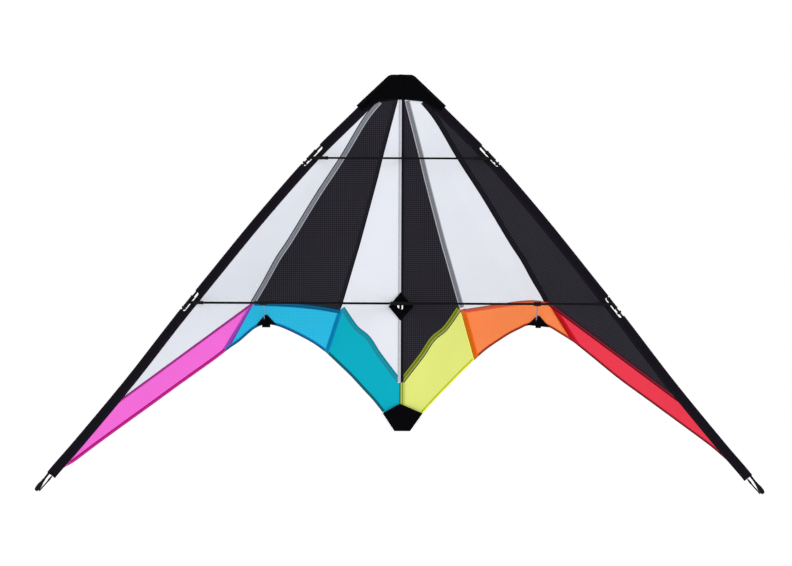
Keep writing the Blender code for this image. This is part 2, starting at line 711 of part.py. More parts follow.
wings = {}
for side_name, side in SIDES.items():
    wing = make_empty(f"{side_name}_wing_fold", (side * FOLD_X, 0, 0), frame_empty)
    wings[side_name] = wing
    make_spars(side_name, side, wing)
    make_sleeve(side_name, side, wing)
    make_panels(side_name, side, wing)
    make_nose_half(side_name, side, wing)
    make_tip(side_name, side, wing)
    make_trailing_patch(side_name, side, wing)
    for level in levels.values():
        make_connector(side_name, side, wing, level)

    pivot = (side * LOWER_PIVOT_X, LOWER_Y, LOWER_Z)
    swing = make_empty(f"{side_name}_lower_swing", pivot, wing)
    make_arm(side_name, side, swing, levels["lower"])
    make_lower_spreader(side_name, side, swing)

    foot = make_empty(f"{side_name}_standoff_swing", standoff_rear(side), wing)
    make_standoff(side_name, side, foot)

upper_swing = make_empty("upper_swing", (-UPPER_PIVOT_X, UPPER_Y, UPPER_Z), wings["left"])
make_arm("left", -1, upper_swing, levels["upper"])
make_arm("right", 1, wings["right"], levels["upper"])
upper_start = -(UPPER_ARM_END + SOCKET_DEPTH - 2 * GAP)
rod("upper_spreader", [(upper_start, UPPER_Y, UPPER_Z), (UPPER_ARM_END - GAP, UPPER_Y, UPPER_Z)],
    UPPER_R, rod_black, upper_swing, resolution=4)
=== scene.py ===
"""Two-line delta kite as photographed: sewn ripstop sail, webbing, rods and moulded fittings.

Units are metres, or millimetres where that is said. +X is the viewer's right, -Y the front
(spreader) side, +Z the nose. The leading edge, the sail's depth and the rods' places are the
CAD's. The trailing edges, patches and fittings follow the photograph more closely, each wing for
itself.
"""

import json
import math

import bmesh
import bpy
import numpy as np
from mathutils import Matrix, Vector

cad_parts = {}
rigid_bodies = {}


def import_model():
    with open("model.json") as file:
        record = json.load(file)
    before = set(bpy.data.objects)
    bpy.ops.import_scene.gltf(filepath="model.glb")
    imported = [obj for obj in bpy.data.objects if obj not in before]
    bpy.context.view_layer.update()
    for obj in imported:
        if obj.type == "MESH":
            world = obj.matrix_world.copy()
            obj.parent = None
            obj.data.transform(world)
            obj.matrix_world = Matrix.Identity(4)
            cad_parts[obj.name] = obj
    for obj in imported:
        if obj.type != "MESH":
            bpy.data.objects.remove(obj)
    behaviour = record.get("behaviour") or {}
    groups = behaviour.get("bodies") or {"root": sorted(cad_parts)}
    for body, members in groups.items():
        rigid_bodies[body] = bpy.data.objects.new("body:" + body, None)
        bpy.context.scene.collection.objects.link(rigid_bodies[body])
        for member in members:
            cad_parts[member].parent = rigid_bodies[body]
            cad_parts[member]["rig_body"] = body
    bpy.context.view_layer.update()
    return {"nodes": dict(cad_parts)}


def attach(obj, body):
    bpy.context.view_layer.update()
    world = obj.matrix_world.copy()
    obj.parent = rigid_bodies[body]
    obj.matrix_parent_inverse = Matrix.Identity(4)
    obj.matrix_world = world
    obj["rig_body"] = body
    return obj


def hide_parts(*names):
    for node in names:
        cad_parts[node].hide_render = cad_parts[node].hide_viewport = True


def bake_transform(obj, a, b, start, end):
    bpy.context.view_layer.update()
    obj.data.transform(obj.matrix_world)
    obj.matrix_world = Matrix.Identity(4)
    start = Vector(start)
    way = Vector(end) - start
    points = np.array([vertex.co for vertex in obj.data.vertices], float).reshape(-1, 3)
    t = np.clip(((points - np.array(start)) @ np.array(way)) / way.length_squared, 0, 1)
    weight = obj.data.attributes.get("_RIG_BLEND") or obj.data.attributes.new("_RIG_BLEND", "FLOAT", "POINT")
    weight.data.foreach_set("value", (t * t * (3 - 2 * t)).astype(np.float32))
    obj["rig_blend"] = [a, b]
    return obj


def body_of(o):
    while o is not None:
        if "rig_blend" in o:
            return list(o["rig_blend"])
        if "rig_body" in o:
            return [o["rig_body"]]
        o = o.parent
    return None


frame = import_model()
SIDES = {"left": -1, "right": 1}
MM = 0.001

# ---------------------------------------------------------------- driving dimensions

LEADING_EDGE = [
    (0.0240, 0.5030), (0.1020, 0.4250), (0.2010, 0.3260), (0.3150, 0.1950),
    (0.4220, 0.0630), (0.5010, -0.0360), (0.6030, -0.1680), (0.7120, -0.3000),
    (0.7705, -0.3680), (0.8085, -0.4185),
]
SLEEVE_WIDTH = 0.022
SPAR_INSET = 0.0045
SLEEVE_TOP = 0.484
SLEEVE_END = -0.3735
NOTCH_DEPTH = 0.011
UPPER_NOTCH = (0.349, 0.3075)
LOWER_NOTCH = {"left": (0.027, -0.0135), "right": (0.019, -0.0240)}
SEAM_OUTER = [(0.0441, 0.4467), (0.079, 0.403), (0.128, 0.321), (0.1835, 0.236),
              (0.242, 0.140), (0.271, 0.096), (0.301, 0.041), (0.3226, 0.004)]
SEAM_INNER = [(0.0067, 0.4490), (0.0396, 0.322), (0.052, 0.271), (0.0868, 0.140),
              (0.0995, 0.096), (0.1264, 0.003), (0.1325, -0.014)]
INNER_HEM = [(0.1325, -0.014), (0.102, -0.057), (0.075, -0.080), (0.053, -0.113),
             (0.025, -0.150), (0.0065, -0.174)]
TIP_SEAM_END = (0.611, -0.214)
# The two wings' trailing edges hang differently: the right one lower beside the tail, the left
# one lower further out.
TRAIL_INNER = {
    "left": [(0.1636, -0.1089), (0.136, -0.1347), (0.109, -0.1602), (0.081, -0.1902),
             (0.058, -0.2145), (0.0385, -0.2390)],
    "right": [(0.1636, -0.1245), (0.136, -0.1510), (0.109, -0.1787), (0.081, -0.2076),
              (0.058, -0.2324), (0.0480, -0.2440)],
}
TAIL_Z = -0.243                 # where the trailing edge passes behind the tail patch
TRAIL_MIDDLE = {
    "left": [(0.1636, -0.1089), (0.189, -0.0909), (0.217, -0.0755), (0.253, -0.0587),
             (0.279, -0.0500), (0.301, -0.0485), (0.317, -0.0540), (0.329, -0.0618),
             (0.356, -0.0855), (0.3755, -0.0991), (0.3845, -0.1060)],
    "right": [(0.1636, -0.1245), (0.189, -0.1021), (0.217, -0.0827), (0.242, -0.0671),
              (0.268, -0.0545), (0.279, -0.0497), (0.301, -0.0462), (0.320, -0.0475),
              (0.3335, -0.0533), (0.355, -0.0663), (0.372, -0.0767)],
}
TRAIL_OUTER = {
    "left": [(0.3845, -0.1060), (0.411, -0.1268), (0.484, -0.1796), (0.5506, -0.2286),
             (0.611, -0.2727), (0.664, -0.3118), (0.690, -0.3315), (0.7165, -0.3514),
             (0.7400, -0.3650)],
    "right": [(0.372, -0.0767), (0.388, -0.0876), (0.430, -0.1215), (0.484, -0.1652),
              (0.5495, -0.2127), (0.611, -0.2576), (0.682, -0.3098), (0.716, -0.3390)],
}
FOLD_X = 0.0036
SAIL_DEPTH = 0.100
SAIL_TOP_Z = 0.452
STANDOFF_X = 0.301
TRAIL_Z = -0.0455
RIDGE_BLEND = 0.25
BILLOW = 0.25
SLOT_X = 0.0072
PANEL_SLOT_X = 0.0102
SLOT_TOP = 0.0050
WINDOW_TOP = 0.0038             # the patch's own window stops behind the T's barrel
SLOT_BOTTOM = -0.0145

PLY = 0.0003                    # thickness of a single ply of sail cloth
CELL = 0.005                    # spacing of the cloth's mesh
# Columns of the panels' meshes, rows of the inner panel, and of the tip panel beside the sleeve.
COLUMNS = {"leading": 34, "mid": 34, "inner": 20, "tip": 24, "mid_trailing": 20,
           "inner_trailing": 16}
INNER_ROWS, TIP_ROWS = 125, 36
TUCK = 0.019                    # how far in from the fold the cloth reaches inside the sleeve
LEADING_TOP = 0.444             # where the leading panel's border starts inside the sleeve
CENTRE_X = 0.0011               # where the two wings' cloth meets, right of the spine
WING_BEND = (0.002, 0.008)      # where the cloth turns at a wing's fold
NOSE_BEND = (0.003, 0.016)
HARD_EDGE = 32                  # degrees, above which a hard part's edge is drawn sharp

# ---------------------------------------------------------------- curves and the sail's surface


def smooth_path(points, per_span=12):
    """A Catmull-Rom curve through the points, as an array."""
    knots = np.array(points, float)
    knots = np.vstack([2 * knots[0] - knots[1], knots, 2 * knots[-1] - knots[-2]])
    path = []
    for a, b, c, d in zip(knots, knots[1:], knots[2:], knots[3:]):
        for t in np.arange(per_span) / per_span:
            path.append(0.5 * (2 * b + (c - a) * t + (2 * a - 5 * b + 4 * c - d) * t ** 2
                               + (3 * b - a - 3 * c + d) * t ** 3))
    return np.vstack([path, knots[-2]])


def run_length(points):
    """Distance along a line of points."""
    return np.concatenate([[0.0], np.cumsum(np.linalg.norm(np.diff(points, axis=0), axis=1))])


def sample(points, count):
    """Evenly spaced points along a line."""
    points = np.array(points, float)
    along = run_length(points)
    wanted = np.linspace(0.0, along[-1], count)
    return np.column_stack([np.interp(wanted, along, column) for column in points.T])


def fine(points):
    """A smooth curve through the points, in steps of about CELL."""
    curve = smooth_path(points)
    return sample(curve, max(3, round(run_length(curve)[-1] / CELL) + 1))


def straight(points):
    """Straight runs between the points, in steps of about CELL."""
    return sample(points, max(3, round(run_length(np.array(points))[-1] / CELL) + 1))


EDGE = smooth_path(LEADING_EDGE)
EDGE_RUN = np.gradient(EDGE, axis=0)
EDGE_RUN /= np.linalg.norm(EDGE_RUN, axis=1)[:, None]
EDGE_IN = np.column_stack([EDGE_RUN[:, 1], -EDGE_RUN[:, 0]])
SLEEVE_LINE = EDGE + SLEEVE_WIDTH * EDGE_IN


def edge_line(inset, top, bottom, count):
    """Points of the line that runs inset from the leading edge, between two heights of its own."""
    line = EDGE + inset * EDGE_IN
    heights = np.linspace(top, bottom, count)
    return np.column_stack([np.interp(-heights, -line[:, 1], line[:, 0]), heights])


TIP_END = tuple(edge_line(TUCK, TIP_SEAM_END[1], TIP_SEAM_END[1], 1)[0])


def trail_height(side_name, x):
    """Height of the trailing edge at each distance from the middle."""
    line = np.vstack([[(0.0, TAIL_Z)], smooth_path(TRAIL_INNER[side_name])[::-1],
                      smooth_path(TRAIL_MIDDLE[side_name]), smooth_path(TRAIL_OUTER[side_name])])
    order = np.argsort(line[:, 0], kind="stable")
    return np.interp(x, line[order, 0], line[order, 1])


def edge_direction(height):
    run = np.array([np.interp(-height, -EDGE[:, 1], column) for column in EDGE_RUN.T])
    return run / np.linalg.norm(run)


def edge_inset(points):
    """How far in from the leading edge each (x, z) point lies."""
    near = np.linalg.norm(points[:, None] - EDGE[None], axis=2).argmin(axis=1)
    return ((points - EDGE[near]) * EDGE_IN[near]).sum(axis=1)


def swell(part):
    part = np.clip(part, 0.0, 1.0)
    return part * (1 + BILLOW * (1 - part))


def smooth_step(low, high, value):
    t = np.clip((value - low) / (high - low), 0.0, 1.0)
    return t * t * (3 - 2 * t)


def sail_depth(x, z):
    """Depth of the sail: a ridge from the nose to the standoff, falling to both edges."""
    down = (SAIL_TOP_Z - z) / (SAIL_TOP_Z - TRAIL_Z)
    ridge_x = FOLD_X + (STANDOFF_X - FOLD_X) * np.maximum(down, 0.002)
    outer_x = np.interp(-z, -SLEEVE_LINE[:, 1], SLEEVE_LINE[:, 0])
    a = swell((x - FOLD_X) / (ridge_x - FOLD_X))
    b = swell((outer_x - x) / np.maximum(outer_x - ridge_x, 0.001))
    near = np.maximum(RIDGE_BLEND - abs(a - b), 0.0) / RIDGE_BLEND
    least = np.minimum(a, b) - near * near * RIDGE_BLEND / 4
    return SAIL_DEPTH * np.clip(down, 0.0, 1.0) * np.maximum(least, 0.0)


def wrinkles(side, x, z):
    """Slight folds of the taut sail: they run from the nose and along the trailing edge."""
    fan = np.arctan2(x + 0.02, 0.52 - z)
    reach = np.hypot(x, 0.48 - z)
    folds = 0.0011 * np.sin(fan * 23 + 0.7 * side) * np.exp(-((reach - 0.24) / 0.17) ** 2)
    slack = 0.0009 * np.sin(x * 31 + z * 17 + side) * np.sin(z * 26 - x * 11 + 2 * side)
    ripple = 0.0007 * np.sin(x * 74 - z * 33 + side) * np.exp(-np.clip(z + 0.02, 0, 1) / 0.05)
    return folds + slack + ripple


def seam_bulge(side, x, z):
    """How far the seam above the trailing panels is drawn up from a straight line."""
    (x0, z0), (x1, z1) = SEAM_INNER[-1], SEAM_OUTER[-1]
    u = np.clip((x - x0) / (x1 - x0), 0.0, 1.0)
    away = z - (z0 + (z1 - z0) * u)
    if side < 0:
        rise = 0.005 * np.sin(math.pi * u ** 0.8)
    else:
        rise = 0.004 * np.sin(math.pi * u) + 0.005 * np.sin(math.pi * u ** 3)
    return rise * np.exp(-(away / 0.035) ** 2)


def on_sail(side, flat, lift=0.0):
    """Places (x, z) points on the sail; lift is towards the back."""
    flat = np.asarray(flat, float)
    x, z = flat[..., 0], flat[..., 1]
    z = z + seam_bulge(side, x, z)
    depth = sail_depth(x, z)
    depth = depth + wrinkles(side, x, z) * np.clip(depth / 0.014, 0.0, 1.0)
    return np.stack([side * x, depth + lift, z], axis=-1)


# ---------------------------------------------------------------- mesh building


def link(name, mesh, material):
    obj = bpy.data.objects.new(name, mesh)
    bpy.context.scene.collection.objects.link(obj)
    mesh.materials.append(material)
    return obj


def build_mesh(name, verts, faces, uv=None, tint=None):
    """A mesh with the cloth's own coordinates in metres and, where given, a tint for each face."""
    mesh = bpy.data.meshes.new(name)
    mesh.from_pydata(np.asarray(verts, float).tolist(), [], [list(map(int, f)) for f in faces])
    if uv is not None:
        corner = np.zeros(len(mesh.loops), np.int32)
        mesh.loops.foreach_get("vertex_index", corner)
        layer = mesh.uv_layers.new(name="cloth")
        layer.data.foreach_set("uv", np.asarray(uv, np.float32)[corner].ravel())
    if tint is not None:
        counts = np.zeros(len(mesh.polygons), np.int32)
        mesh.polygons.foreach_get("loop_total", counts)
        colours = np.column_stack([np.asarray(tint, np.float32), np.ones(len(faces), np.float32)])
        layer = mesh.color_attributes.new("tint", "FLOAT_COLOR", "CORNER")
        layer.data.foreach_set("color", np.repeat(colours, counts, axis=0).ravel())
    return mesh


def tidy_normals(mesh, angle=38):
    bm = bmesh.new()
    bm.from_mesh(mesh)
    bmesh.ops.recalc_face_normals(bm, faces=bm.faces)
    bm.to_mesh(mesh)
    bm.free()
    mesh.shade_smooth()
    mesh.set_sharp_from_angle(angle=math.radians(angle))


def grid_faces(rows, columns, keep=None):
    index = np.arange(rows * columns).reshape(rows, columns)
    quads = np.stack([index[:-1, :-1], index[:-1, 1:], index[1:, 1:], index[1:, :-1]], axis=-1)
    return quads.reshape(-1, 4) if keep is None else quads[keep]


def vertex_normals(verts, quads):
    corner = verts[quads]
    face = np.cross(corner[:, 2] - corner[:, 0], corner[:, 3] - corner[:, 1])
    normal = np.zeros_like(verts)
    for i in range(4):
        np.add.at(normal, quads[:, i], face)
    return normal / np.maximum(np.linalg.norm(normal, axis=1), 1e-12)[:, None]


def shell(name, verts, quads, thickness, material, uv, tint=None):
    """A closed thin solid about a surface of quads."""
    used = np.unique(quads)
    renumber = np.zeros(len(verts), int)
    renumber[used] = np.arange(len(used))
    verts, uv, quads = verts[used], uv[used], renumber[quads]
    count = len(verts)
    normal = vertex_normals(verts, quads) * thickness / 2
    edges = {}
    for number, quad in enumerate(quads):
        for a, b in zip(quad, np.roll(quad, -1)):
            edges.setdefault((min(a, b), max(a, b)), []).append((a, b, number))
    rim, rim_tint = [], []
    for uses in edges.values():
        if len(uses) == 1:
            a, b, number = uses[0]
            rim.append((b, a, a + count, b + count))
            rim_tint.append(number)
    faces = [*quads.tolist(), *(quads[:, ::-1] + count).tolist(), *rim]
    if tint is not None:
        tint = np.vstack([tint, tint, np.asarray(tint)[rim_tint]])
    mesh = build_mesh(name, np.vstack([verts + normal, verts - normal]), faces,
                      np.vstack([uv, uv]), tint)
    tidy_normals(mesh)
    return link(name, mesh, material)


def grid_shell(name, points, thickness, material, uv, tint=None, keep=None):
    """A closed thin solid about a grid of points."""
    return shell(name, points.reshape(-1, 3), grid_faces(*points.shape[:2], keep), thickness,
                 material, uv.reshape(-1, 2), tint)


def prism(outline, low_y, high_y):
    """Mesh of a flat plate between two depths, from its outline of (x, z) points."""
    count = len(outline)
    verts = [(x, y, z) for y in (low_y, high_y) for x, z in outline]
    faces = [list(range(count)), list(range(2 * count - 1, count - 1, -1))]
    faces += [(i, (i + 1) % count, (i + 1) % count + count, i + count) for i in range(count)]
    mesh = build_mesh("plate", verts, faces)
    tidy_normals(mesh, HARD_EDGE)
    return mesh


def join_and_cut(obj, unions, cuts):
    """Joins solids to the object, then cuts others out of it."""
    helpers = []
    for operation, group in (("UNION", unions), ("DIFFERENCE", cuts)):
        for mesh in group:
            helper = link("helper", mesh, obj.data.materials[0])
            helpers.append(helper)
            change = obj.modifiers.new("change", "BOOLEAN")
            change.operation, change.solver, change.object = operation, "EXACT", helper
    graph = bpy.context.evaluated_depsgraph_get()
    result = bpy.data.meshes.new_from_object(obj.evaluated_get(graph),
                                             preserve_all_data_layers=True, depsgraph=graph)
    obj.modifiers.clear()
    obj.data = result
    for helper in helpers:
        bpy.data.objects.remove(helper, do_unlink=True)


def settle(obj, slot, node=None, body=None, wing=None, bend=WING_BEND):
    """Hides the CAD node that a piece stands for and gives the piece what carries it: one body, or the
    fold between the spine and a wing. The slot is not used."""
    if node:
        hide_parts(node)
    if wing:
        side = SIDES[wing]
        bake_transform(obj, "spine", f"{wing}_wing", (side * bend[0], 0, 0), (side * bend[1], 0, 0))
    else:
        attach(obj, body)
    return obj


def sewn_to(side_name, part):
    """What carries a piece sewn to this panel: the inner panels bend at the wing's root."""
    if part.startswith("inner"):
        return {"wing": side_name}
    return {"body": f"{side_name}_wing"}


def surface_area(points):
    """Area of a grid of points."""
    first = np.cross(points[1:, :-1] - points[:-1, :-1], points[:-1, 1:] - points[:-1, :-1])
    second = np.cross(points[1:, :-1] - points[1:, 1:], points[:-1, 1:] - points[1:, 1:])
    return (np.linalg.norm(first, axis=2).sum() + np.linalg.norm(second, axis=2).sum()) / 2


def cut_size(points):
    """(width, length, area) of the cloth that makes this surface: the smallest rectangle that it
    fits, opened out to the surface's own area."""
    flat = points[..., [0, 2]].reshape(-1, 2)
    level = points * (1, 0, 1)
    area, stretch = surface_area(points), surface_area(points) / surface_area(level)
    best = None
    for turn in np.radians(np.arange(0, 180, 2)):
        turned = flat @ np.array([[math.cos(turn), -math.sin(turn)],
                                  [math.sin(turn), math.cos(turn)]])
        sides = sorted(np.ptp(turned, axis=0) * math.sqrt(stretch))
        if best is None or sides[0] * sides[1] < best[0] * best[1]:
            best = sides
    return round(best[0], 3), round(best[1], 3), area


# ---------------------------------------------------------------- materials

LIGHT_GAIN = 1.10               # how bright a white card faces the camera in this light


def seen(red, green, blue):
    """The surface colour that shows as this display colour in the studio's light."""
    value = np.array([red, green, blue]) / 255
    linear = np.where(value <= 0.04045, value / 12.92, ((value + 0.055) / 1.055) ** 2.4)
    return tuple(np.clip(linear / LIGHT_GAIN, 0.0, 0.95))


class Nodes:
    """A Principled material and short ways to add nodes to it."""

    def __init__(self, name, colour, roughness, specular, metallic=0.0):
        self.material = bpy.data.materials.new(name)
        self.material.use_nodes = True
        self.tree = self.material.node_tree
        self.shader = self.tree.nodes["Principled BSDF"]
        self.set(self.shader, {"Base Color": (*colour, 1), "Roughness": roughness,
                               "Specular IOR Level": specular, "Metallic": metallic})

    def set(self, node, values):
        for key, value in values.items():
            node.inputs[key].default_value = value

    def add(self, kind, values=(), links=(), **properties):
        node = self.tree.nodes.new(kind)
        for key, value in properties.items():
            setattr(node, key, value)
        self.set(node, dict(values))
        for key, socket in dict(links).items():
            self.tree.links.new(socket, node.inputs[key])
        return node

    def link(self, socket, key):
        self.tree.links.new(socket, self.shader.inputs[key])

    def place(self, scale, turn=0.0, source="UV"):
        """Coordinates in units of 1/scale metres: the cloth's own, or the solid's."""
        if source == "UV":
            start = self.add("ShaderNodeUVMap", uv_map="cloth").outputs["UV"]
        else:
            start = self.add("ShaderNodeTexCoord").outputs["Object"]
        scale = scale if hasattr(scale, "__len__") else (scale,) * 3
        return self.add("ShaderNodeMapping", {"Scale": scale, "Rotation": (0, 0, turn)},
                        {"Vector": start}).outputs["Vector"]

    def mix(self, factor, a, b, blend="MIX"):
        node = self.add("ShaderNodeMix", data_type="RGBA", blend_type=blend)
        for key, value in (("Factor_Float", factor), ("A_Color", a), ("B_Color", b)):
            socket = next(s for s in node.inputs if s.identifier == key)
            if isinstance(value, bpy.types.NodeSocket):
                self.tree.links.new(value, socket)
            else:
                socket.default_value = value if key == "Factor_Float" else (*value, 1)
        return next(s for s in node.outputs if s.identifier == "Result_Color")

    def scaled(self, value, low, high):
        """A 0 to 1 value stretched between low and high."""
        return self.add("ShaderNodeMapRange", {"To Min": low, "To Max": high},
                        {"Value": value}).outputs["Result"]

    def bump(self, height, distance, strength=1.0, under=None):
        links = {"Height": height}
        if under is not None:
            links["Normal"] = under
        return self.add("ShaderNodeBump", {"Distance": distance, "Strength": strength},
                        links).outputs["Normal"]

    def grid(self, vector, pitch, line):
        """1 on the threads of a square grid and 0 between them."""
        return self.add("ShaderNodeTexBrick",
                        {"Scale": 1.0, "Brick Width": pitch, "Row Height": pitch,
                         "Mortar Size": line, "Mortar Smooth": 0.3, "Bias": 0.0},
                        {"Vector": vector}, offset=0.0, squash=1.0).outputs["Fac"]

    def noise(self, vector, scale, detail=3.0):
        return self.add("ShaderNodeTexNoise", {"Scale": scale, "Detail": detail},
                        {"Vector": vector}).outputs["Fac"]


def shade(colour, factor):
    return tuple(min(c * factor, 0.97) for c in colour)


def ripstop(name, colour, turn=0.0, thread=1.16, pale=0.0, vary=0.06):
    """Coated nylon or polyester with a square grid of heavier threads."""
    m = Nodes(name, colour, 0.62, 0.05)
    place = m.place(1000, turn)
    threads = m.grid(place, 4.5, 0.50)
    broad = m.noise(m.place(1, turn), 9.0, 2.0)
    body = m.mix(m.scaled(broad, 0.0, 1.0), shade(colour, 1 - vary), shade(colour, 1 + vary))
    line = tuple(min(c * thread + pale, 0.97) for c in colour)
    m.link(m.mix(m.scaled(threads, 0.0, 0.85), body, line), "Base Color")
    m.link(m.scaled(m.noise(place, 0.35), 0.54, 0.70), "Roughness")
    weave = m.grid(place, 0.5, 0.09)
    low = m.bump(weave, 0.00003, 0.5)
    m.link(m.bump(threads, 0.00010, 0.7, low), "Normal")
    return m.material


def tape_cloth(name, roughness=0.66):
    """Seams and hems of doubled cloth, tinted piece by piece."""
    m = Nodes(name, (0.5, 0.5, 0.5), roughness, 0.05)
    tint = m.add("ShaderNodeVertexColor", layer_name="tint").outputs["Color"]
    place = m.place(1000)
    mottle = m.scaled(m.noise(place, 0.22, 4.0), 0.80, 1.20)
    grey = m.add("ShaderNodeCombineColor", links={"Red": mottle, "Green": mottle, "Blue": mottle})
    m.link(m.mix(1.0, tint, grey.outputs["Color"], "MULTIPLY"), "Base Color")
    m.link(m.bump(m.grid(place, 0.6, 0.12), 0.00006, 0.7), "Normal")
    return m.material


def webbing(name, colour, pitch=1.1):
    """Heavy woven polyester: ribs across and picks along."""
    m = Nodes(name, colour, 0.78, 0.03)
    place = m.place(1000)
    ribs = m.grid(place, pitch, 0.16)
    fuzz = m.noise(place, 1.6, 5.0)
    m.link(m.mix(m.scaled(fuzz, 0.0, 1.0), shade(colour, 0.7), shade(colour, 1.6)), "Base Color")
    m.link(m.scaled(fuzz, 0.68, 0.88), "Roughness")
    m.link(m.bump(ribs, 0.00018, 0.9, m.bump(fuzz, 0.00008, 0.5)), "Normal")
    return m.material


def moulded(name, colour, roughness=0.42):
    """Spark-finished black nylon."""
    m = Nodes(name, colour, roughness, 0.09)
    place = m.place(1000, source="Object")
    grain = m.noise(place, 2.4, 4.0)
    m.link(m.mix(m.scaled(m.noise(place, 0.12), 0, 1), shade(colour, 0.8), shade(colour, 1.35)),
           "Base Color")
    m.link(m.scaled(grain, roughness - 0.09, roughness + 0.10), "Roughness")
    m.link(m.bump(grain, 0.00005, 0.6), "Normal")
    return m.material


def drawn_rod(name, colour, along=(1, 1, 1), roughness=0.30, specular=0.08):
    """Pultruded rod: fine streaks along its length under a satin resin."""
    m = Nodes(name, colour, roughness, specular)
    streak = m.noise(m.place([1000 * a for a in along], source="Object"), 1.0, 4.0)
    m.link(m.mix(m.scaled(streak, 0, 1), shade(colour, 0.7), shade(colour, 1.7)), "Base Color")
    m.link(m.scaled(streak, roughness - 0.07, roughness + 0.12), "Roughness")
    m.link(m.bump(streak, 0.00003, 0.5), "Normal")
    return m.material


def metal(name, colour):
    m = Nodes(name, colour, 0.34, 0.5, 1.0)
    scratch = m.noise(m.place((300, 2500, 300), source="Object"), 1.0, 4.0)
    m.link(m.scaled(scratch, 0.26, 0.46), "Roughness")
    m.link(m.bump(scratch, 0.00002, 0.5), "Normal")
    return m.material


def braid(name, colour):
    m = Nodes(name, colour, 0.75, 0.04)
    place = m.place(1000, math.pi / 4, "Object")
    plait = m.grid(place, 0.7, 0.12)
    m.link(m.mix(m.scaled(plait, 0, 1), shade(colour, 1.8), shade(colour, 0.5)), "Base Color")
    m.link(m.bump(plait, 0.0002, 0.9), "Normal")
    return m.material


WHITE, BLACK = seen(229, 232, 240), seen(25, 23, 31)
LEAD_TURN = math.radians(-40)

panel_look = {
    "left": {
        "leading": ("cloth_white", ripstop("cloth_white_bias", WHITE, -LEAD_TURN, 0.955)),
        "mid": ("cloth_black", ripstop("cloth_black", BLACK, 0.0, 1.7, 0.024, 0.35)),
        "inner": ("cloth_white", ripstop("cloth_white", WHITE, 0.0, 0.955)),
        "tip": ("cloth_pink", ripstop("cloth_pink", seen(249, 110, 221), math.radians(30), 0.84)),
        "mid_trailing": ("cloth_blue", ripstop("cloth_blue", seen(42, 190, 232), 0.0, 0.76)),
        "inner_trailing": ("cloth_teal", ripstop("cloth_teal", seen(3, 175, 197),
                                                 math.radians(45), 0.80)),
    },
    "right": {
        "leading": ("cloth_black", ripstop("cloth_black_bias", seen(29, 28, 36), LEAD_TURN,
                                           1.8, 0.022, 0.35)),
        "mid": ("cloth_white", ripstop("cloth_white_right", WHITE, 0.0, 0.955)),
        "inner": ("cloth_black", ripstop("cloth_black_right", BLACK, 0.0, 1.7, 0.024, 0.35)),
        "tip": ("cloth_red", ripstop("cloth_red", seen(240, 59, 80), math.radians(-30), 0.82)),
        "mid_trailing": ("cloth_orange", ripstop("cloth_orange", seen(255, 140, 80), 0.0, 0.86)),
        "inner_trailing": ("cloth_lemon", ripstop("cloth_lemon", seen(229, 237, 126),
                                                  math.radians(-45), 0.90)),
    },
}
seam_cloth = tape_cloth("seam_cloth")
thread = tape_cloth("thread", 0.55)
webbing_black = webbing("webbing_black_woven", seen(4, 4, 7))
sleeve_black = webbing("sleeve_black_woven", seen(22, 18, 26), 0.8)
mould_black = moulded("nylon_black", seen(10, 9, 12))
rod_black = drawn_rod("carbon_rod", seen(7, 6, 9), (0.05, 1, 1))
spar_black = drawn_rod("carbon_spar", seen(7, 6, 9), (0.2, 1, 0.2))
spine_black = drawn_rod("carbon_spine", seen(7, 6, 9), (1, 1, 0.05))
standoff_grey = drawn_rod("glass_rod", seen(112, 116, 146), (1, 0.05, 1), 0.36, 0.3)
ferrule_metal = metal("ferrule_brass", (0.72, 0.60, 0.34))
bungee = braid("bungee_braid", seen(10, 9, 13))

# ---------------------------------------------------------------- cloth panels

bits = {name: {} for name in SIDES}      # the pieces sewn to each panel
sheets = {}


def ruled(first, second, columns):
    share = np.linspace(0.0, 1.0, columns)[None, :, None]
    return np.asarray(first)[:, None] * (1 - share) + np.asarray(second)[:, None] * share


def wing_panel(side_name, part, flat, keep=None):
    """One cloth panel over a grid of (x, z) points."""
    side = SIDES[side_name]
    slot, material = panel_look[side_name][part]
    points = on_sail(side, flat)
    name = f"{side_name}_{part}_cloth"
    obj = grid_shell(name, points, PLY, material, flat * (side, 1), keep=keep)
    settle(obj, slot, f"{side_name}_{part}_panel", **sewn_to(side_name, part))
    sheets[name] = (obj, cut_size(points))
    bits[side_name][part] = []


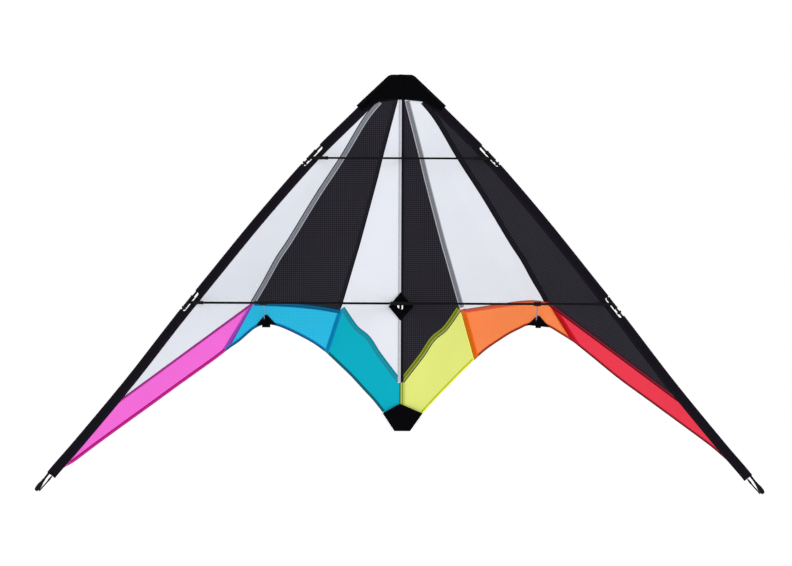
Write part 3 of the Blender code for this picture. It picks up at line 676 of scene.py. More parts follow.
def make_cloth(side_name):
    side = SIDES[side_name]
    outer_seam, inner_seam = fine(SEAM_OUTER), fine(SEAM_INNER)
    rows = len(outer_seam)
    wing_panel(side_name, "leading",
               ruled(outer_seam, edge_line(TUCK, LEADING_TOP, TIP_SEAM_END[1], rows),
                     COLUMNS["leading"]))
    wing_panel(side_name, "mid", ruled(sample(inner_seam, rows), outer_seam, COLUMNS["mid"]))

    centre = side * CENTRE_X
    border = np.vstack([inner_seam, fine(INNER_HEM)[1:]])
    heights = np.unique(np.concatenate([np.linspace(border[0, 1], border[-1, 1], INNER_ROWS),
                                        [SLOT_TOP, SLOT_BOTTOM]]))[::-1]
    border_x = np.interp(-heights, -border[:, 1], border[:, 0])
    start = np.array([centre, 0.0025, 0.005, 0.0075, PANEL_SLOT_X])
    narrow = np.minimum(border_x / 0.014, 1.0)[:, None]
    near = start[0] + (start - start[0])[None] * narrow
    near[:, -1] = np.minimum(near[:, -1], border_x * 0.8 + start[0] * 0.2)
    near = np.sort(np.minimum(near, near[:, -1:]), axis=1)
    share = np.linspace(0, 1, COLUMNS["inner"])[None, 1:]
    x = np.hstack([near, near[:, -1:] * (1 - share) + border_x[:, None] * share])
    flat = np.stack([x, np.repeat(heights[:, None], x.shape[1], axis=1)], axis=-1)
    middle_x = (flat[:-1, :-1, 0] + flat[1:, 1:, 0]) / 2
    middle_z = (flat[:-1, :-1, 1] + flat[1:, 1:, 1]) / 2
    slot = (middle_x < PANEL_SLOT_X) & (middle_z < SLOT_TOP) & (middle_z > SLOT_BOTTOM)
    wing_panel(side_name, "inner", flat, ~slot)

    trail = TRAIL_OUTER[side_name]
    tip_top = np.vstack([straight([SEAM_OUTER[-1], TIP_END]),
                         edge_line(TUCK, TIP_END[1], trail[-1][1] + 0.003, TIP_ROWS)[1:]])
    tip_trail = sample(smooth_path(trail), len(tip_top))
    wing_panel(side_name, "tip", ruled(tip_top, tip_trail, COLUMNS["tip"]))
    middle = fine(TRAIL_MIDDLE[side_name])
    wing_panel(side_name, "mid_trailing",
               ruled(sample([SEAM_INNER[-1], SEAM_OUTER[-1]], len(middle)), middle,
                     COLUMNS["mid_trailing"]))
    hem = np.vstack([fine(INNER_HEM), (centre, INNER_HEM[-1][1])])
    low = np.vstack([fine(TRAIL_INNER[side_name]), sample([(0.030, TAIL_Z), (centre, TAIL_Z)], 8)])
    wing_panel(side_name, "inner_trailing",
               ruled(sample(hem, len(low)), low, COLUMNS["inner_trailing"]))


# ---------------------------------------------------------------- seams, hems and stitching


def offset_line(line, distance):
    run = np.gradient(line, axis=0)
    run /= np.linalg.norm(run, axis=1)[:, None]
    distance = np.broadcast_to(distance, len(line))[:, None]
    return line + np.column_stack([-run[:, 1], run[:, 0]]) * distance


def cut_at_edge(side_name, line):
    """The part of a line that lies above the trailing edge."""
    above = line[:, 1] - trail_height(side_name, line[:, 0]) - 0.0002
    out = np.nonzero(above < 0)[0]
    if not len(out) or out[0] == 0:
        return line
    last = out[0]
    share = above[last - 1] / (above[last - 1] - above[last])
    end = line[last - 1] + (line[last] - line[last - 1]) * share
    return sample(np.vstack([line[:last], end]), len(line))


def band(side_name, part, name, line, stops, thickness, widen=(1.0, 1.0), to_edge=False):
    """A doubled strip beside a line on the sail. stops are (offset in mm, display colour) across
    it, the colour holding to the next stop; widen scales the offsets from one end to the other."""
    spread = np.linspace(*widen, len(line))
    offsets = np.array([stop[0] for stop in stops]) * MM
    columns = [offset_line(line, offset * spread) for offset in offsets]
    if to_edge:
        columns = [cut_at_edge(side_name, column) for column in columns]
    points = on_sail(SIDES[side_name], np.stack(columns, axis=1))
    tint = np.tile([seen(*stop[1]) for stop in stops[:-1]], (len(line) - 1, 1))
    lengthwise = np.repeat(run_length(line)[:, None], len(stops), axis=1)
    uv = np.stack([lengthwise, np.tile(offsets, (len(line), 1))], axis=-1)
    obj = grid_shell(f"{side_name}_{name}", points, thickness, seam_cloth, uv, tint)
    settle(obj, panel_look[side_name][part][0], **sewn_to(side_name, part))
    bits[side_name][part].append(obj)


STITCH_R, STITCH_PITCH = 0.00024, 0.0042
STITCH_STAND = 0.00008          # how far a stitch's middle stands off the cloth
STITCH_REACH = 1.35             # a stitch's length, in half pitches
STITCH_RING = np.array([(1, 0), (0, 1), (-1, 0), (0, -1)], float)
STITCH_FACES = np.array([(0, 1, 5, 4), (1, 2, 6, 5), (2, 3, 7, 6), (3, 0, 4, 7)])
STITCH_ENDS = np.array([(0, 8, 1, 1), (1, 8, 2, 2), (2, 8, 3, 3), (3, 8, 0, 0),
                        (4, 5, 9, 9), (5, 6, 9, 9), (6, 7, 9, 9), (7, 4, 9, 9)])


def stitch_mesh(starts, ends, outward, radius):
    """Vertices and faces of small rounded stitches from starts to ends."""
    run = ends - starts
    length = np.linalg.norm(run, axis=1)[:, None]
    run = run / length
    across = np.cross(run, outward)
    across /= np.linalg.norm(across, axis=1)[:, None]
    up = np.cross(across, run)
    verts = []
    for place in (0.2, 0.8):
        middle = starts + run * length * place
        for a, b in STITCH_RING:
            verts.append(middle + (across * a + up * b) * radius)
    verts += [starts, ends]
    verts = np.stack(verts, axis=1).reshape(-1, 3)
    first = np.arange(len(starts))[:, None, None] * 10
    quads = (STITCH_FACES[None] + first).reshape(-1, 4)
    points = (STITCH_ENDS[None, :, :3] + first).reshape(-1, 3)
    return verts, [*quads.tolist(), *points.tolist()]


def stitch_ends(place, line, offset, pitch, zigzag):
    """Start and end points of a row of stitches beside a line, through place(). The offset and
    the zigzag's width are in mm."""
    total = run_length(line)[-1]
    count = max(2, int(total / pitch))
    dense = sample(line, count * 2 + 1)
    sway = np.zeros(len(dense))
    sway[1::2] = zigzag
    path = offset_line(dense, offset * MM + (sway - zigzag / 2) * MM)
    if zigzag:
        return place(path[:-1]), place(path[1:])
    starts, ends = path[:-1:2], path[1::2]
    return place(starts), place(starts + (ends - starts) * STITCH_REACH)


def both_faces(place, line, offset, pitch=STITCH_PITCH, zigzag=0.0):
    """A row of stitches on each face: place(points, face) puts them in space, face -1 in front."""
    rows = []
    for face in (-1, 1):
        starts, ends = stitch_ends(lambda p: place(p, face), line, offset, pitch, zigzag)
        rows.append((starts, ends, (0, face, 0)))
    return rows


def stitch_rows(name, rows, colour, **carrier):
    """Rows of stitches as one piece: each row is (start points, end points, outward direction)."""
    verts, faces = [], []
    for starts, ends, outward in rows:
        v, f = stitch_mesh(starts, ends, np.broadcast_to(outward, starts.shape), STITCH_R)
        offset = sum(len(x) for x in verts)
        faces += [[i + offset for i in face] for face in f]
        verts.append(v)
    verts = np.vstack(verts)
    tint = np.tile(seen(*colour), (len(faces), 1))
    mesh = build_mesh(name, verts, faces, verts[:, [0, 2]], tint)
    tidy_normals(mesh, 70)
    return settle(link(name, mesh, thread), "cord_black", **carrier)


def sail_stitches(side_name, part, name, line, offsets, colour, stand, zigzag=0.0):
    """Stitching on both faces of a seam that stands this far proud of the sail's middle."""
    rows = []
    for offset in offsets:
        rows += both_faces(lambda p, face: on_sail(SIDES[side_name], p, face * stand), line, offset,
                           zigzag=zigzag)
    obj = stitch_rows(f"{side_name}_{name}_stitching", rows, colour, **sewn_to(side_name, part))
    bits[side_name][part].append(obj)


def trimmed(line, start=0.0, end=0.0):
    """The line without this much of its ends."""
    along = run_length(line)
    wanted = np.linspace(start, along[-1] - end, len(line))
    return np.column_stack([np.interp(wanted, along, column) for column in line.T])


def carried_on(line, distance):
    """The line with its end carried straight on by a distance."""
    step = line[-1] - line[-2]
    return np.vstack([line, line[-1] + step / np.linalg.norm(step) * distance])


SEAM_STYLE = {
    "left": {
        "outer": [(-4.8, (176, 180, 189)), (-3.2, (128, 130, 140)), (2.8, (143, 147, 156)),
                  (4.8, (12, 11, 18)), (6.6, None)],
        "inner": [(-0.2, (6, 5, 10)), (1.8, (30, 29, 36)), (9.0, None)],
        "hem": [(-11.0, (8, 123, 142)), (-8.6, (13, 150, 170)), (-2.6, (45, 138, 156)),
                (0.2, None)],
        "mid": [(-10.0, (6, 96, 138)), (-2.6, (10, 60, 88)), (-1.0, (12, 34, 48)), (0.3, None)],
        "tip": [(-4.6, (165, 55, 148)), (-1.4, (152, 20, 118)), (0.3, None)],
        "trail": [(-6.0, (8, 140, 186)), (-3.8, (0, 124, 174)), (2.4, (14, 146, 195)),
                  (4.0, None)],
        "gore": [(-2.6, (104, 33, 153)), (-0.8, (150, 65, 183)), (5.4, (178, 78, 194)),
                 (8.2, None)],
        "thread": {"outer": (70, 72, 80), "inner": (14, 13, 18), "hem": (10, 96, 116),
                   "mid": (8, 62, 92), "tip": (120, 10, 92), "trail": (4, 96, 140),
                   "gore": (98, 34, 140)},
    },
    "right": {
        "outer": [(-5.0, (6, 5, 10)), (-3.2, (24, 22, 29)), (3.6, (30, 29, 36)),
                  (5.0, (6, 5, 10)), (6.4, None)],
        "inner": [(-0.2, (176, 176, 184)), (2.0, (122, 124, 132)), (8.2, (146, 150, 158)),
                  (10.8, None)],
        "hem": [(-9.6, (144, 154, 40)), (-6.8, (108, 120, 16)), (-3.4, (150, 160, 74)),
                (-1.4, (176, 184, 112)), (0.0, (30, 30, 6)), (2.0, None)],
        "mid": [(-8.6, (236, 108, 72)), (-5.8, (208, 92, 62)), (-0.8, (120, 58, 42)),
                (0.3, None)],
        "tip": [(-2.8, (112, 2, 18)), (0.6, (122, 42, 58)), (2.6, (62, 22, 35)), (6.4, None)],
        "trail": [(-2.6, (252, 236, 124)), (-0.2, (192, 116, 12)), (3.8, (222, 94, 6)),
                  (7.4, (242, 110, 32)), (11.4, None)],
        "gore": [(-0.6, (238, 122, 64)), (3.4, (150, 8, 3)), (5.0, (180, 12, 16)),
                 (11.4, (206, 20, 42)), (15.5, None)],
        "thread": {"outer": (14, 13, 18), "inner": (84, 86, 94), "hem": (92, 102, 14),
                   "mid": (168, 62, 38), "tip": (84, 4, 18), "trail": (176, 82, 8),
                   "gore": (120, 6, 10)},
    },
}
# Turned hems of the trailing edge: (part, line, {side: (width in mm, colour, colour at the rim)}).
HEM_STYLE = [
    ("inner_trailing", TRAIL_INNER, {"left": (6.2, (10, 100, 116), (3, 84, 98)),
                                     "right": (5.6, (190, 198, 28), (244, 250, 92))}),
    ("mid_trailing", TRAIL_MIDDLE, {"left": (6.0, (16, 122, 176), (2, 82, 126)),
                                    "right": (4.8, (186, 66, 38), (138, 40, 20))}),
    ("tip", TRAIL_OUTER, {"left": (7.0, (178, 8, 122), (196, 44, 142)),
                          "right": (4.6, (176, 34, 52), (92, 8, 22))}),
]


def make_seams(side_name):
    style = SEAM_STYLE[side_name]
    lines = {
        "outer": ("mid", carried_on(trimmed(fine(SEAM_OUTER), 0.005, 0.0), 0.006), 0.00080),
        "inner": ("mid", trimmed(fine(SEAM_INNER), 0.005, 0.004), 0.00084),
        "hem": ("inner_trailing", fine(INNER_HEM), 0.00088),
        "mid": ("mid_trailing", straight([SEAM_INNER[-1], SEAM_OUTER[-1]]), 0.00092),
        "tip": ("tip", carried_on(straight([SEAM_OUTER[-1], TIP_END]), 0.006), 0.00096),
        "trail": ("mid_trailing", straight([SEAM_INNER[-1], TRAIL_INNER[side_name][0]]), 0.00076),
        "gore": ("tip", straight([SEAM_OUTER[-1], TRAIL_MIDDLE[side_name][-1]]), 0.00064),
    }
    widen = {"gore": (0.34, 1.35) if side_name == "left" else (0.75, 1.0)}
    for name, (part, line, thickness) in lines.items():
        stops = style[name]
        ends_low = name in ("trail", "gore")
        if name == "gore" and side_name == "right":
            line = trimmed(line, 0.0095)
        if ends_low:
            line = sample(np.vstack([line, line[-1] + (line[-1] - line[0]) * 0.40]), len(line))
        band(side_name, part, f"{name}_seam", line, stops, thickness, widen.get(name, (1, 1)),
             to_edge=ends_low)
        low, high = stops[0][0], stops[-1][0]
        middle, half = (low + high) / 2, (high - low) / 2
        rows = (middle,) if half < 3 else (middle - half * 0.45, middle + half * 0.45)
        trim = trimmed(line, 0.02, 0.055) if ends_low else trimmed(line, 0.006, 0.006)
        sail_stitches(side_name, part, f"{name}_seam", trim, rows, style["thread"][name],
                      thickness / 2 + STITCH_STAND, zigzag=1.6 if half > 3 else 0.0)
    for number, (part, points, widths) in enumerate(HEM_STYLE):
        width, colour, rim = widths[side_name]
        line = fine(points[side_name])
        if part == "inner_trailing":
            stops = [(-width, colour), (-width * 0.42, rim), (0.1, None)]
        else:
            stops = [(-0.1, rim), (width * 0.55, colour), (width, None)]
        thickness = 0.00068 + 0.00002 * number
        band(side_name, part, f"{part}_hem", line, stops, thickness)
        offset = -width * 0.72 if part == "inner_trailing" else width * 0.72
        sail_stitches(side_name, part, f"{part}_hem", trimmed(line, 0.004, 0.004), (offset,),
                      tuple(int(c * 0.72) for c in colour), thickness / 2 + STITCH_STAND)


# ---------------------------------------------------------------- leading-edge sleeves


def edge_frame(height):
    """Point on the fold, direction down the edge and direction to the sail, at a height."""
    at = np.array([np.interp(-height, -EDGE[:, 1], c) for c in (*EDGE.T, *EDGE_RUN.T, *EDGE_IN.T)])
    return at[:2], at[2:4], at[4:]


def rounded_slot(length, depth, radius=0.0045):
    """Outline of a notch as (down from its top, inset) with round inner corners."""
    outline = [(0.0, -0.008)]
    for middle, turns in ((radius, (math.pi, math.pi / 2)), (length - radius, (math.pi / 2, 0))):
        for a in np.linspace(*turns, 7):
            outline.append((middle + radius * math.cos(a), depth - radius + radius * math.sin(a)))
    return outline + [(length, -0.008)]


# How far the front ply lies from the sleeve's middle, at each inset from the fold.
SLEEVE_SECTION = [(0.022, 0.00045), (0.0195, 0.0005), (0.0165, 0.00062), (0.0135, 0.00075),
                  (0.0110, 0.0010), (0.0092, 0.0021)]
SLEEVE_PLY = 0.0005
SLEEVE_ROWS = 240
SLEEVE_LOOP = np.radians(np.linspace(138, -138, 19))    # round the spar, from front to back
SLEEVE_SEW_TOP, SLEEVE_SEW_END, SLEEVE_SEW_Y = 0.425, -0.352, 0.00086
SLEEVE_SEW_INSETS = (0.017, 0.020)
CUTTER_Y = 0.02


def make_sleeve(side_name):
    side = SIDES[side_name]
    loop = SPAR_INSET - SLEEVE_PLY / 2
    section = [(inset, -y) for inset, y in SLEEVE_SECTION]
    section += [(SPAR_INSET - loop * math.cos(a), -loop * math.sin(a)) for a in SLEEVE_LOOP]
    section += [(inset, y) for inset, y in reversed(SLEEVE_SECTION)]
    fold = edge_line(0, SLEEVE_TOP, SLEEVE_END, SLEEVE_ROWS)
    points = []
    for number, height in enumerate(fold[:, 1]):
        at, _, inward = edge_frame(height)
        pucker = 0.00012 * math.sin(number * 1.9) + 0.00010 * math.sin(number * 0.83)
        points.append([(side * (at[0] + inset * inward[0]),
                        y + (pucker if inset > 0.010 else 0.0),
                        at[1] + inset * inward[1]) for inset, y in section])
    around, along = run_length(np.array(section)), run_length(fold)
    uv = np.stack(np.meshgrid(around, along), axis=-1)
    obj = grid_shell(f"{side_name}_sleeve_cloth", np.array(points), SLEEVE_PLY, sleeve_black, uv)
    cutters = []
    for top, bottom in (UPPER_NOTCH, LOWER_NOTCH[side_name]):
        at, run, inward = edge_frame(top)
        outline = [at + run * a + inward * b
                   for a, b in rounded_slot((top - bottom) / abs(run[1]), NOTCH_DEPTH)]
        cutters.append(prism([(side * x, z) for x, z in outline], -CUTTER_Y, CUTTER_Y))
    join_and_cut(obj, (), cutters)
    settle(obj, "webbing_black", f"{side_name}_leading_edge_sleeve", f"{side_name}_wing")
    sheets[obj.name] = (obj, (round(around[-1], 3), round(along[-1], 3), None))

    rows = []
    for inset in SLEEVE_SEW_INSETS:
        line = edge_line(inset, SLEEVE_SEW_TOP, SLEEVE_SEW_END, 300)
        rows += both_faces(lambda p, face: np.column_stack(
            [side * p[:, 0], np.full(len(p), face * SLEEVE_SEW_Y), p[:, 1]]), line, 0.0)
    bits[side_name]["sleeve"] = [stitch_rows(f"{side_name}_sleeve_stitching", rows, (48, 46, 54),
                                             body=f"{side_name}_wing")]


# ---------------------------------------------------------------- nose, patches and straps


def rounded(points, radius, steps=5):
    """A line of straight runs with its inner corners rounded off."""
    points = np.array(points, float)
    path = [points[0]]
    for before, corner, after in zip(points, points[1:], points[2:]):
        a, b = before - corner, after - corner
        r = min(radius, 0.45 * np.linalg.norm(a), 0.45 * np.linalg.norm(b))
        start = corner + a / np.linalg.norm(a) * r
        end = corner + b / np.linalg.norm(b) * r
        for t in np.linspace(0, 1, steps):
            path.append(start * (1 - t) ** 2 + corner * 2 * t * (1 - t) + end * t ** 2)
    return np.vstack([path, points[-1]])


NOSE_ROWS, NOSE_COLUMNS = 56, 26
NOSE_RISE, NOSE_SWELL, NOSE_CHANNEL = 0.0013, 0.0040, 0.0072
WEBBING_PLY = 0.0008
NOSE_TURN = 0.0030              # how far in from the rim the webbing is still folding over
NOSE_STITCH_PITCH, PATCH_STITCH_PITCH = 0.0034, 0.0030
NOSE_SEW_STAND, PATCH_SEW_STAND = 0.00042, 0.00046


def nose_rise(flat, inset, face):
    """How far the webbing stands from its middle: it swells over the spar's end, and at the back
    over the spine too."""
    over_spar = np.exp(-((inset - SPAR_INSET) / 0.0050) ** 2)
    rise = NOSE_RISE + NOSE_SWELL * over_spar * smooth_step(0.492, 0.484, flat[..., 1])
    if face > 0:
        rise = rise + NOSE_CHANNEL * smooth_step(0.019, 0.006, flat[..., 0])
    return rise


def make_nose(side_name):
    """One side of the nose webbing, folded over the top and the leading edge."""
    side = SIDES[side_name]
    rim = sample(rounded([(0.0043, 0.5028), (0.0262, 0.5028), (0.0985, 0.4345)], 0.007), NOSE_ROWS)
    hem = sample(rounded([(0.0043, 0.4480), (0.0460, 0.4440), (0.0850, 0.4225)], 0.004), NOSE_ROWS)
    flat = ruled(rim, hem, NOSE_COLUMNS)
    inset = edge_inset(flat.reshape(-1, 2)).reshape(flat.shape[:2])
    reach = np.linalg.norm(flat - rim[:, None], axis=2)
    turn = np.sqrt(np.clip(1 - (1 - np.clip(reach / NOSE_TURN, 0, 1)) ** 2, 0, 1))
    front, back = (face * nose_rise(flat, inset, face) * turn for face in (-1, 1))
    wrap = np.concatenate([flat[:, ::-1], flat[:, 1:]], axis=1)
    depth = np.concatenate([front[:, ::-1], back[:, 1:]], axis=1)
    points = np.stack([side * wrap[..., 0], depth, wrap[..., 1]], axis=-1)
    name = f"{side_name}_nose_cloth"
    obj = grid_shell(name, points, 0.0007, webbing_black, wrap * (side, 1))
    settle(obj, "webbing_black", f"{side_name}_nose_webbing", wing=side_name, bend=NOSE_BEND)
    width, length, area = cut_size(points)
    sheets[name] = (obj, (2 * width, length, area))

    def place(p, face):
        rise = nose_rise(p, edge_inset(p), face) + NOSE_SEW_STAND
        return np.column_stack([side * p[:, 0], face * rise, p[:, 1]])

    rows = []
    for line, offset in ((hem[3:], 2.6), (rim[3:-2], -4.0)):
        rows += both_faces(place, line, offset, NOSE_STITCH_PITCH)
    bits[side_name]["nose"] = [stitch_rows(f"{side_name}_nose_stitching", rows, (44, 42, 50),
                                           wing=side_name)]


def half_patch(side_name, part, y, inner, border, columns, sewn, offset):
    """One wing's half of a flat webbing patch between two lines, and the stitching along sewn."""
    flat = ruled(inner, border, columns)
    points = np.stack([flat[..., 0], np.full(flat.shape[:2], y), flat[..., 1]], axis=-1)
    name = f"{side_name}_{part}"
    obj = grid_shell(name, points, WEBBING_PLY, webbing_black, flat)
    settle(obj, "webbing_black", part if side_name == "left" else None, wing=side_name)
    sheets[name] = (obj, cut_size(points))
    rows = both_faces(lambda p, face: np.column_stack(
        [p[:, 0], np.full(len(p), y + face * PATCH_SEW_STAND), p[:, 1]]), sewn, offset,
                      PATCH_STITCH_PITCH)
    bits[side_name][part] = [stitch_rows(f"{name}_stitching", rows, (50, 48, 56), wing=side_name)]


def strap(name, path, width, node):
    """A strap across the centre line along a path of (y, z) points, with its corners rolled."""
    path = rounded(path, 0.0022)
    x = np.linspace(-width / 2, width / 2, 7)
    points = np.array([[(a, y, z) for a in x] for y, z in path])
    uv = np.stack(np.meshgrid(x, run_length(path)), axis=-1)
    obj = grid_shell(name, points, WEBBING_PLY, webbing_black, uv)
    settle(obj, "webbing_black", node, "spine")


def centre_strip(name, top, bottom, side_name, stops, node=None):
    """A lengthwise strip of the centre seam. stops are (x in mm, display colour) across it."""
    z = np.linspace(top, bottom, max(2, round((top - bottom) / CELL)))
    x = np.array([s[0] for s in stops]) * MM
    points = np.array([[(a, CENTRE_SEAM_Y, b) for a in x] for b in z])
    tint = np.tile([seen(*s[1]) for s in stops[:-1]], (len(z) - 1, 1))
    uv = np.stack(np.meshgrid(x, z), axis=-1)
    obj = grid_shell(name, points, 0.0005, seam_cloth, uv, tint)
    settle(obj, "webbing_black", node, wing=side_name)
    bits[side_name]["inner"].append(obj)


# corner x, window x below the T, where it narrows, its lower corner and foot
DIAMOND_FORM = {"left": (0.0262, 0.0068, -0.0036, -0.0078, -0.0112),
                "right": (0.0294, 0.0056, -0.0036, -0.0110, -0.0138)}
# corner x and foot x
TAIL_FORM = {"left": (0.0384, 0.0122), "right": (0.0500, 0.0222)}
TAIL_FOOT_Z = -0.2805
CENTRE_SEAM_Y = -0.0004
CENTRE_BLACK = [(1.1, (10, 9, 15)), (2.8, (16, 15, 21)), (6.2, (32, 31, 38)), (7.7, None)]
CENTRE_GREY_SEAM_AND_SPINE_SHADE = [(-5.2, (178, 180, 188)), (-2.0, (196, 198, 206)), (1.1, None)]
# Left of the centre line: the grey of the doubled seam allowance, darkened by painted shade of the spine rod
# that lies behind the white cloth.
CENTRE_GREEN = [(-1.1, (4, 80, 78)), (1.1, (168, 190, 84)), (4.4, (118, 128, 24)),
                (6.2, (190, 200, 88)), (9.4, None)]


def make_centre():
    strap("nose_strap", [(-0.0020, 0.4480), (-0.0020, 0.5032), (0.0092, 0.5032), (0.0092, 0.452)],
          0.0100, "nose_webbing_middle")
    strap("tail_pocket_strap", [(0.0094, -0.246), (0.0094, -0.2770), (0.0004, -0.2770)], 0.016,
          "tail_pocket")
    for name, top, bottom, node in (("upper", 0.449, SLOT_TOP + 0.0004, "centre_seam_upper"),
                                    ("middle", SLOT_BOTTOM - 0.0004, -0.172, None)):
        centre_strip(f"centre_seam_{name}_black", top, bottom, "right", CENTRE_BLACK, node)
        # The left strip is the seam allowance's grey, with painted shade of the spine rod behind the white
        # cloth.
        centre_strip(f"centre_seam_{name}_white", top, bottom, "left", CENTRE_GREY_SEAM_AND_SPINE_SHADE)
    centre_strip("centre_seam_tail", -0.174, TAIL_Z, "right", CENTRE_GREEN, "centre_seam_lower")

    for side_name, side in SIDES.items():
        corner_x, slot_x, step_z, low_z, foot_z = DIAMOND_FORM[side_name]
        outer = sample([(0, 0.0243), (side * corner_x, -0.0069), (0, -0.0376)], 40)
        window = sample([(0, WINDOW_TOP), (side * SLOT_X, WINDOW_TOP), (side * SLOT_X, step_z),
                         (side * slot_x, step_z - 0.0014), (side * slot_x, low_z),
                         (side * 0.0032, foot_z), (0, foot_z)], 40)
        half_patch(side_name, "centre_patch", -0.0011, window, outer, 10, outer[2:-2], side * 2.2)
        corner_x, foot_x = TAIL_FORM[side_name]
        centre = sample([(0, -0.2200), (0, TAIL_FOOT_Z)], 26)
        border = sample([(side * 0.0006, -0.2203), (side * corner_x, -0.2412),
                         (side * foot_x, TAIL_FOOT_Z)], 26)
        half_patch(side_name, "tail_patch", -0.0012, centre, border, 14, border[1:-1], side * 2.4)


# half width, half width and foot of the tab, shift outwards, and heights of the base's two ends
PATCH_FORM = {"left": (0.0225, 0.009, -0.0545, -0.0040, (-0.0480, -0.0500)),
              "right": (0.0252, 0.006, -0.0535, 0.0045, (-0.0470, -0.0520))}
PATCH_TOP = -0.0268


def make_trailing_patch(side_name):
    side = SIDES[side_name]
    half, tab_half, tab_low, shift, (inner_low, outer_low) = PATCH_FORM[side_name]
    x = STANDOFF_X + shift
    apex = sample([(x - 0.0025, PATCH_TOP), (x + 0.0025, PATCH_TOP)], 14)
    base = sample([(x - half, inner_low), (x + half, outer_low)], 14)
    flat = np.transpose(ruled(apex, base, 12), (1, 0, 2))
    points = on_sail(side, flat, -0.0011)
    points[..., 2] = flat[..., 1]
    name = f"{side_name}_trailing_patch_cloth"
    wing = f"{side_name}_wing"
    obj = grid_shell(name, points, WEBBING_PLY, webbing_black, flat * (side, 1))
    settle(obj, "webbing_black", f"{side_name}_trailing_patch", wing)
    sheets[name] = (obj, cut_size(points))

    tab_x = np.linspace(x - tab_half, x + tab_half, 8)
    tab = np.stack(np.meshgrid(tab_x, np.linspace(-0.0440, tab_low, 5)), axis=-1)
    level = np.stack([tab[..., 0], np.full(tab.shape[:2], -0.046)], axis=-1)
    place = on_sail(side, level, -0.0019)
    place[..., 2] = tab[..., 1]
    loop = grid_shell(f"{side_name}_trailing_patch_tab", place, 0.0009, webbing_black,
                      tab * (side, 1))
    bits[side_name]["trailing_patch"] = [settle(loop, "webbing_black", body=wing)]


# ---------------------------------------------------------------- fittings and rods

SPAR_R, SPINE_R, SPREADER_R, UPPER_R, STANDOFF_R = 0.0025, 0.00275, 0.0025, 0.00225, 0.0012
GAP = 0.0003
ROD_BORE = 2.8                  # mm, radius of a hole for a 5 mm rod
SPINE_Y, SPINE_TOP, SPINE_BOTTOM = 0.0042, 0.492, -0.270
SPAR_TOP_Z, SPAR_JOINT_Z, SPAR_END_Z = 0.486, -0.085, -0.4105
LOWER_Y, UPPER_Y = -0.0065, -0.0128
LEVELS = {"lower": {"y": LOWER_Y, "z": 0.0, "pivot": 0.4565, "mouth": 0.433, "rod": SPREADER_R},
          "upper": {"y": UPPER_Y, "z": 0.319, "pivot": 0.1890, "mouth": 0.160, "rod": UPPER_R}}
ARM_R, POST_REAR, SOCKET = 0.0039, -0.0013, 0.020
T_HALF = 0.0225
STANDOFF_REAR = (0.0852, -0.0385)       # (y, z) of the standoff's rear end
CORD_R = 0.0015

# Walls of the turned parts, as (along, radius) in mm.
STOPPER = [(0, 4.4), (0.5, 4.9), (1.2, 5.1), (3.8, 5.1), (4.5, 4.9), (5, 4.4)]
CLIP_WALL = [(-8, 4.2), (-7.5, 4.75), (-5.4, 4.8), (-4.8, 4.5), (4.8, 4.5), (5.4, 4.8),
             (7.5, 4.75), (8, 4.2)]
CLIP_HOLDER = [(0, 0), (0, 4.2), (5.0, 3.9), (8.2, 3.0), (9, 2.4), (9, 0)]
STANDOFF_CAP = [(0, 1.3), (0, 1.9), (0.4, 2.15), (8.6, 2.2), (9.6, 1.7), (10, 0.8), (10, 0),
                (6.8, 0), (6.8, 1.3), (0, 1.3)]
NOCK_WALL = [(-26, 0), (-26, 2.9), (-25, 3.1), (-20, 3.3), (-15, 4.3), (-10, 5.2), (-4, 5.4),
             (1.0, 4.9), (3.8, 3.8), (5, 2.5), (5, 0)]
SPINE_CAP = [(-10, 3.0), (-10, 3.25), (-9.5, 3.35), (0.6, 3.35), (1.6, 2.9), (2, 2.0), (2, 0),
             (0.3, 0), (0.3, 3.0), (-10, 3.0)]
T_WALL = [(-22.5, 0), (-22.5, 3.6), (-22.1, 4.15), (-18.5, 4.2), (-17.8, 3.75), (-7.5, 3.75),
          (-6.5, 4.2), (6.5, 4.2), (7.5, 3.75), (17.8, 3.75), (18.5, 4.2), (22.1, 4.15),
          (22.5, 3.6), (22.5, 0)]
# From the spar's end, as (along the spar, across it) in metres: the nock's slot, the cord's route.
NOCK_SLOT = [(0.0022, 0.009), (0.0022, -0.009), (0.009, -0.009), (0.009, 0.009)]
CORD_ROUTE = [(-0.020, 0.0086), (-0.009, 0.0073), (0.0010, 0.0066)]


def lathe(start, direction, profile, segments=28):
    """Mesh of a turned solid: profile is (along, radius) in mm, a ring if it closes on itself."""
    axis = Vector(direction).normalized()
    turn = axis.to_track_quat("Z", "Y").to_matrix()
    u, v = turn.col[0], turn.col[1]
    closed = profile[0] == profile[-1]
    verts, rings = [], []
    for along, radius in profile[:-1] if closed else profile:
        middle = Vector(start) + axis * along * MM
        if radius == 0:
            rings.append([len(verts)] * segments)
            verts.append(middle)
            continue
        rings.append(list(range(len(verts), len(verts) + segments)))
        for k in range(segments):
            a = 2 * math.pi * k / segments
            verts.append(middle + (u * math.cos(a) + v * math.sin(a)) * radius * MM)
    faces = []
    for one, two in zip(rings, rings[1:] + (rings[:1] if closed else [])):
        for k in range(segments):
            n = (k + 1) % segments
            corners = dict.fromkeys((one[k], one[n], two[n], two[k]))
            if len(corners) > 2:
                faces.append(list(corners))
    mesh = build_mesh("turned", verts, faces)
    tidy_normals(mesh, HARD_EDGE)
    return mesh


def bar(length, radius, chamfer=0.35):
    """Profile of a plain round bar in mm."""
    return [(0, 0), (0, radius - chamfer), (chamfer, radius), (length - chamfer, radius),
            (length, radius - chamfer), (length, 0)]


def bored(outer, bore):
    """A ring's profile from its outer wall, in mm, and the radius of its bore."""
    return [*outer, (outer[-1][0], bore), (outer[0][0], bore), outer[0]]


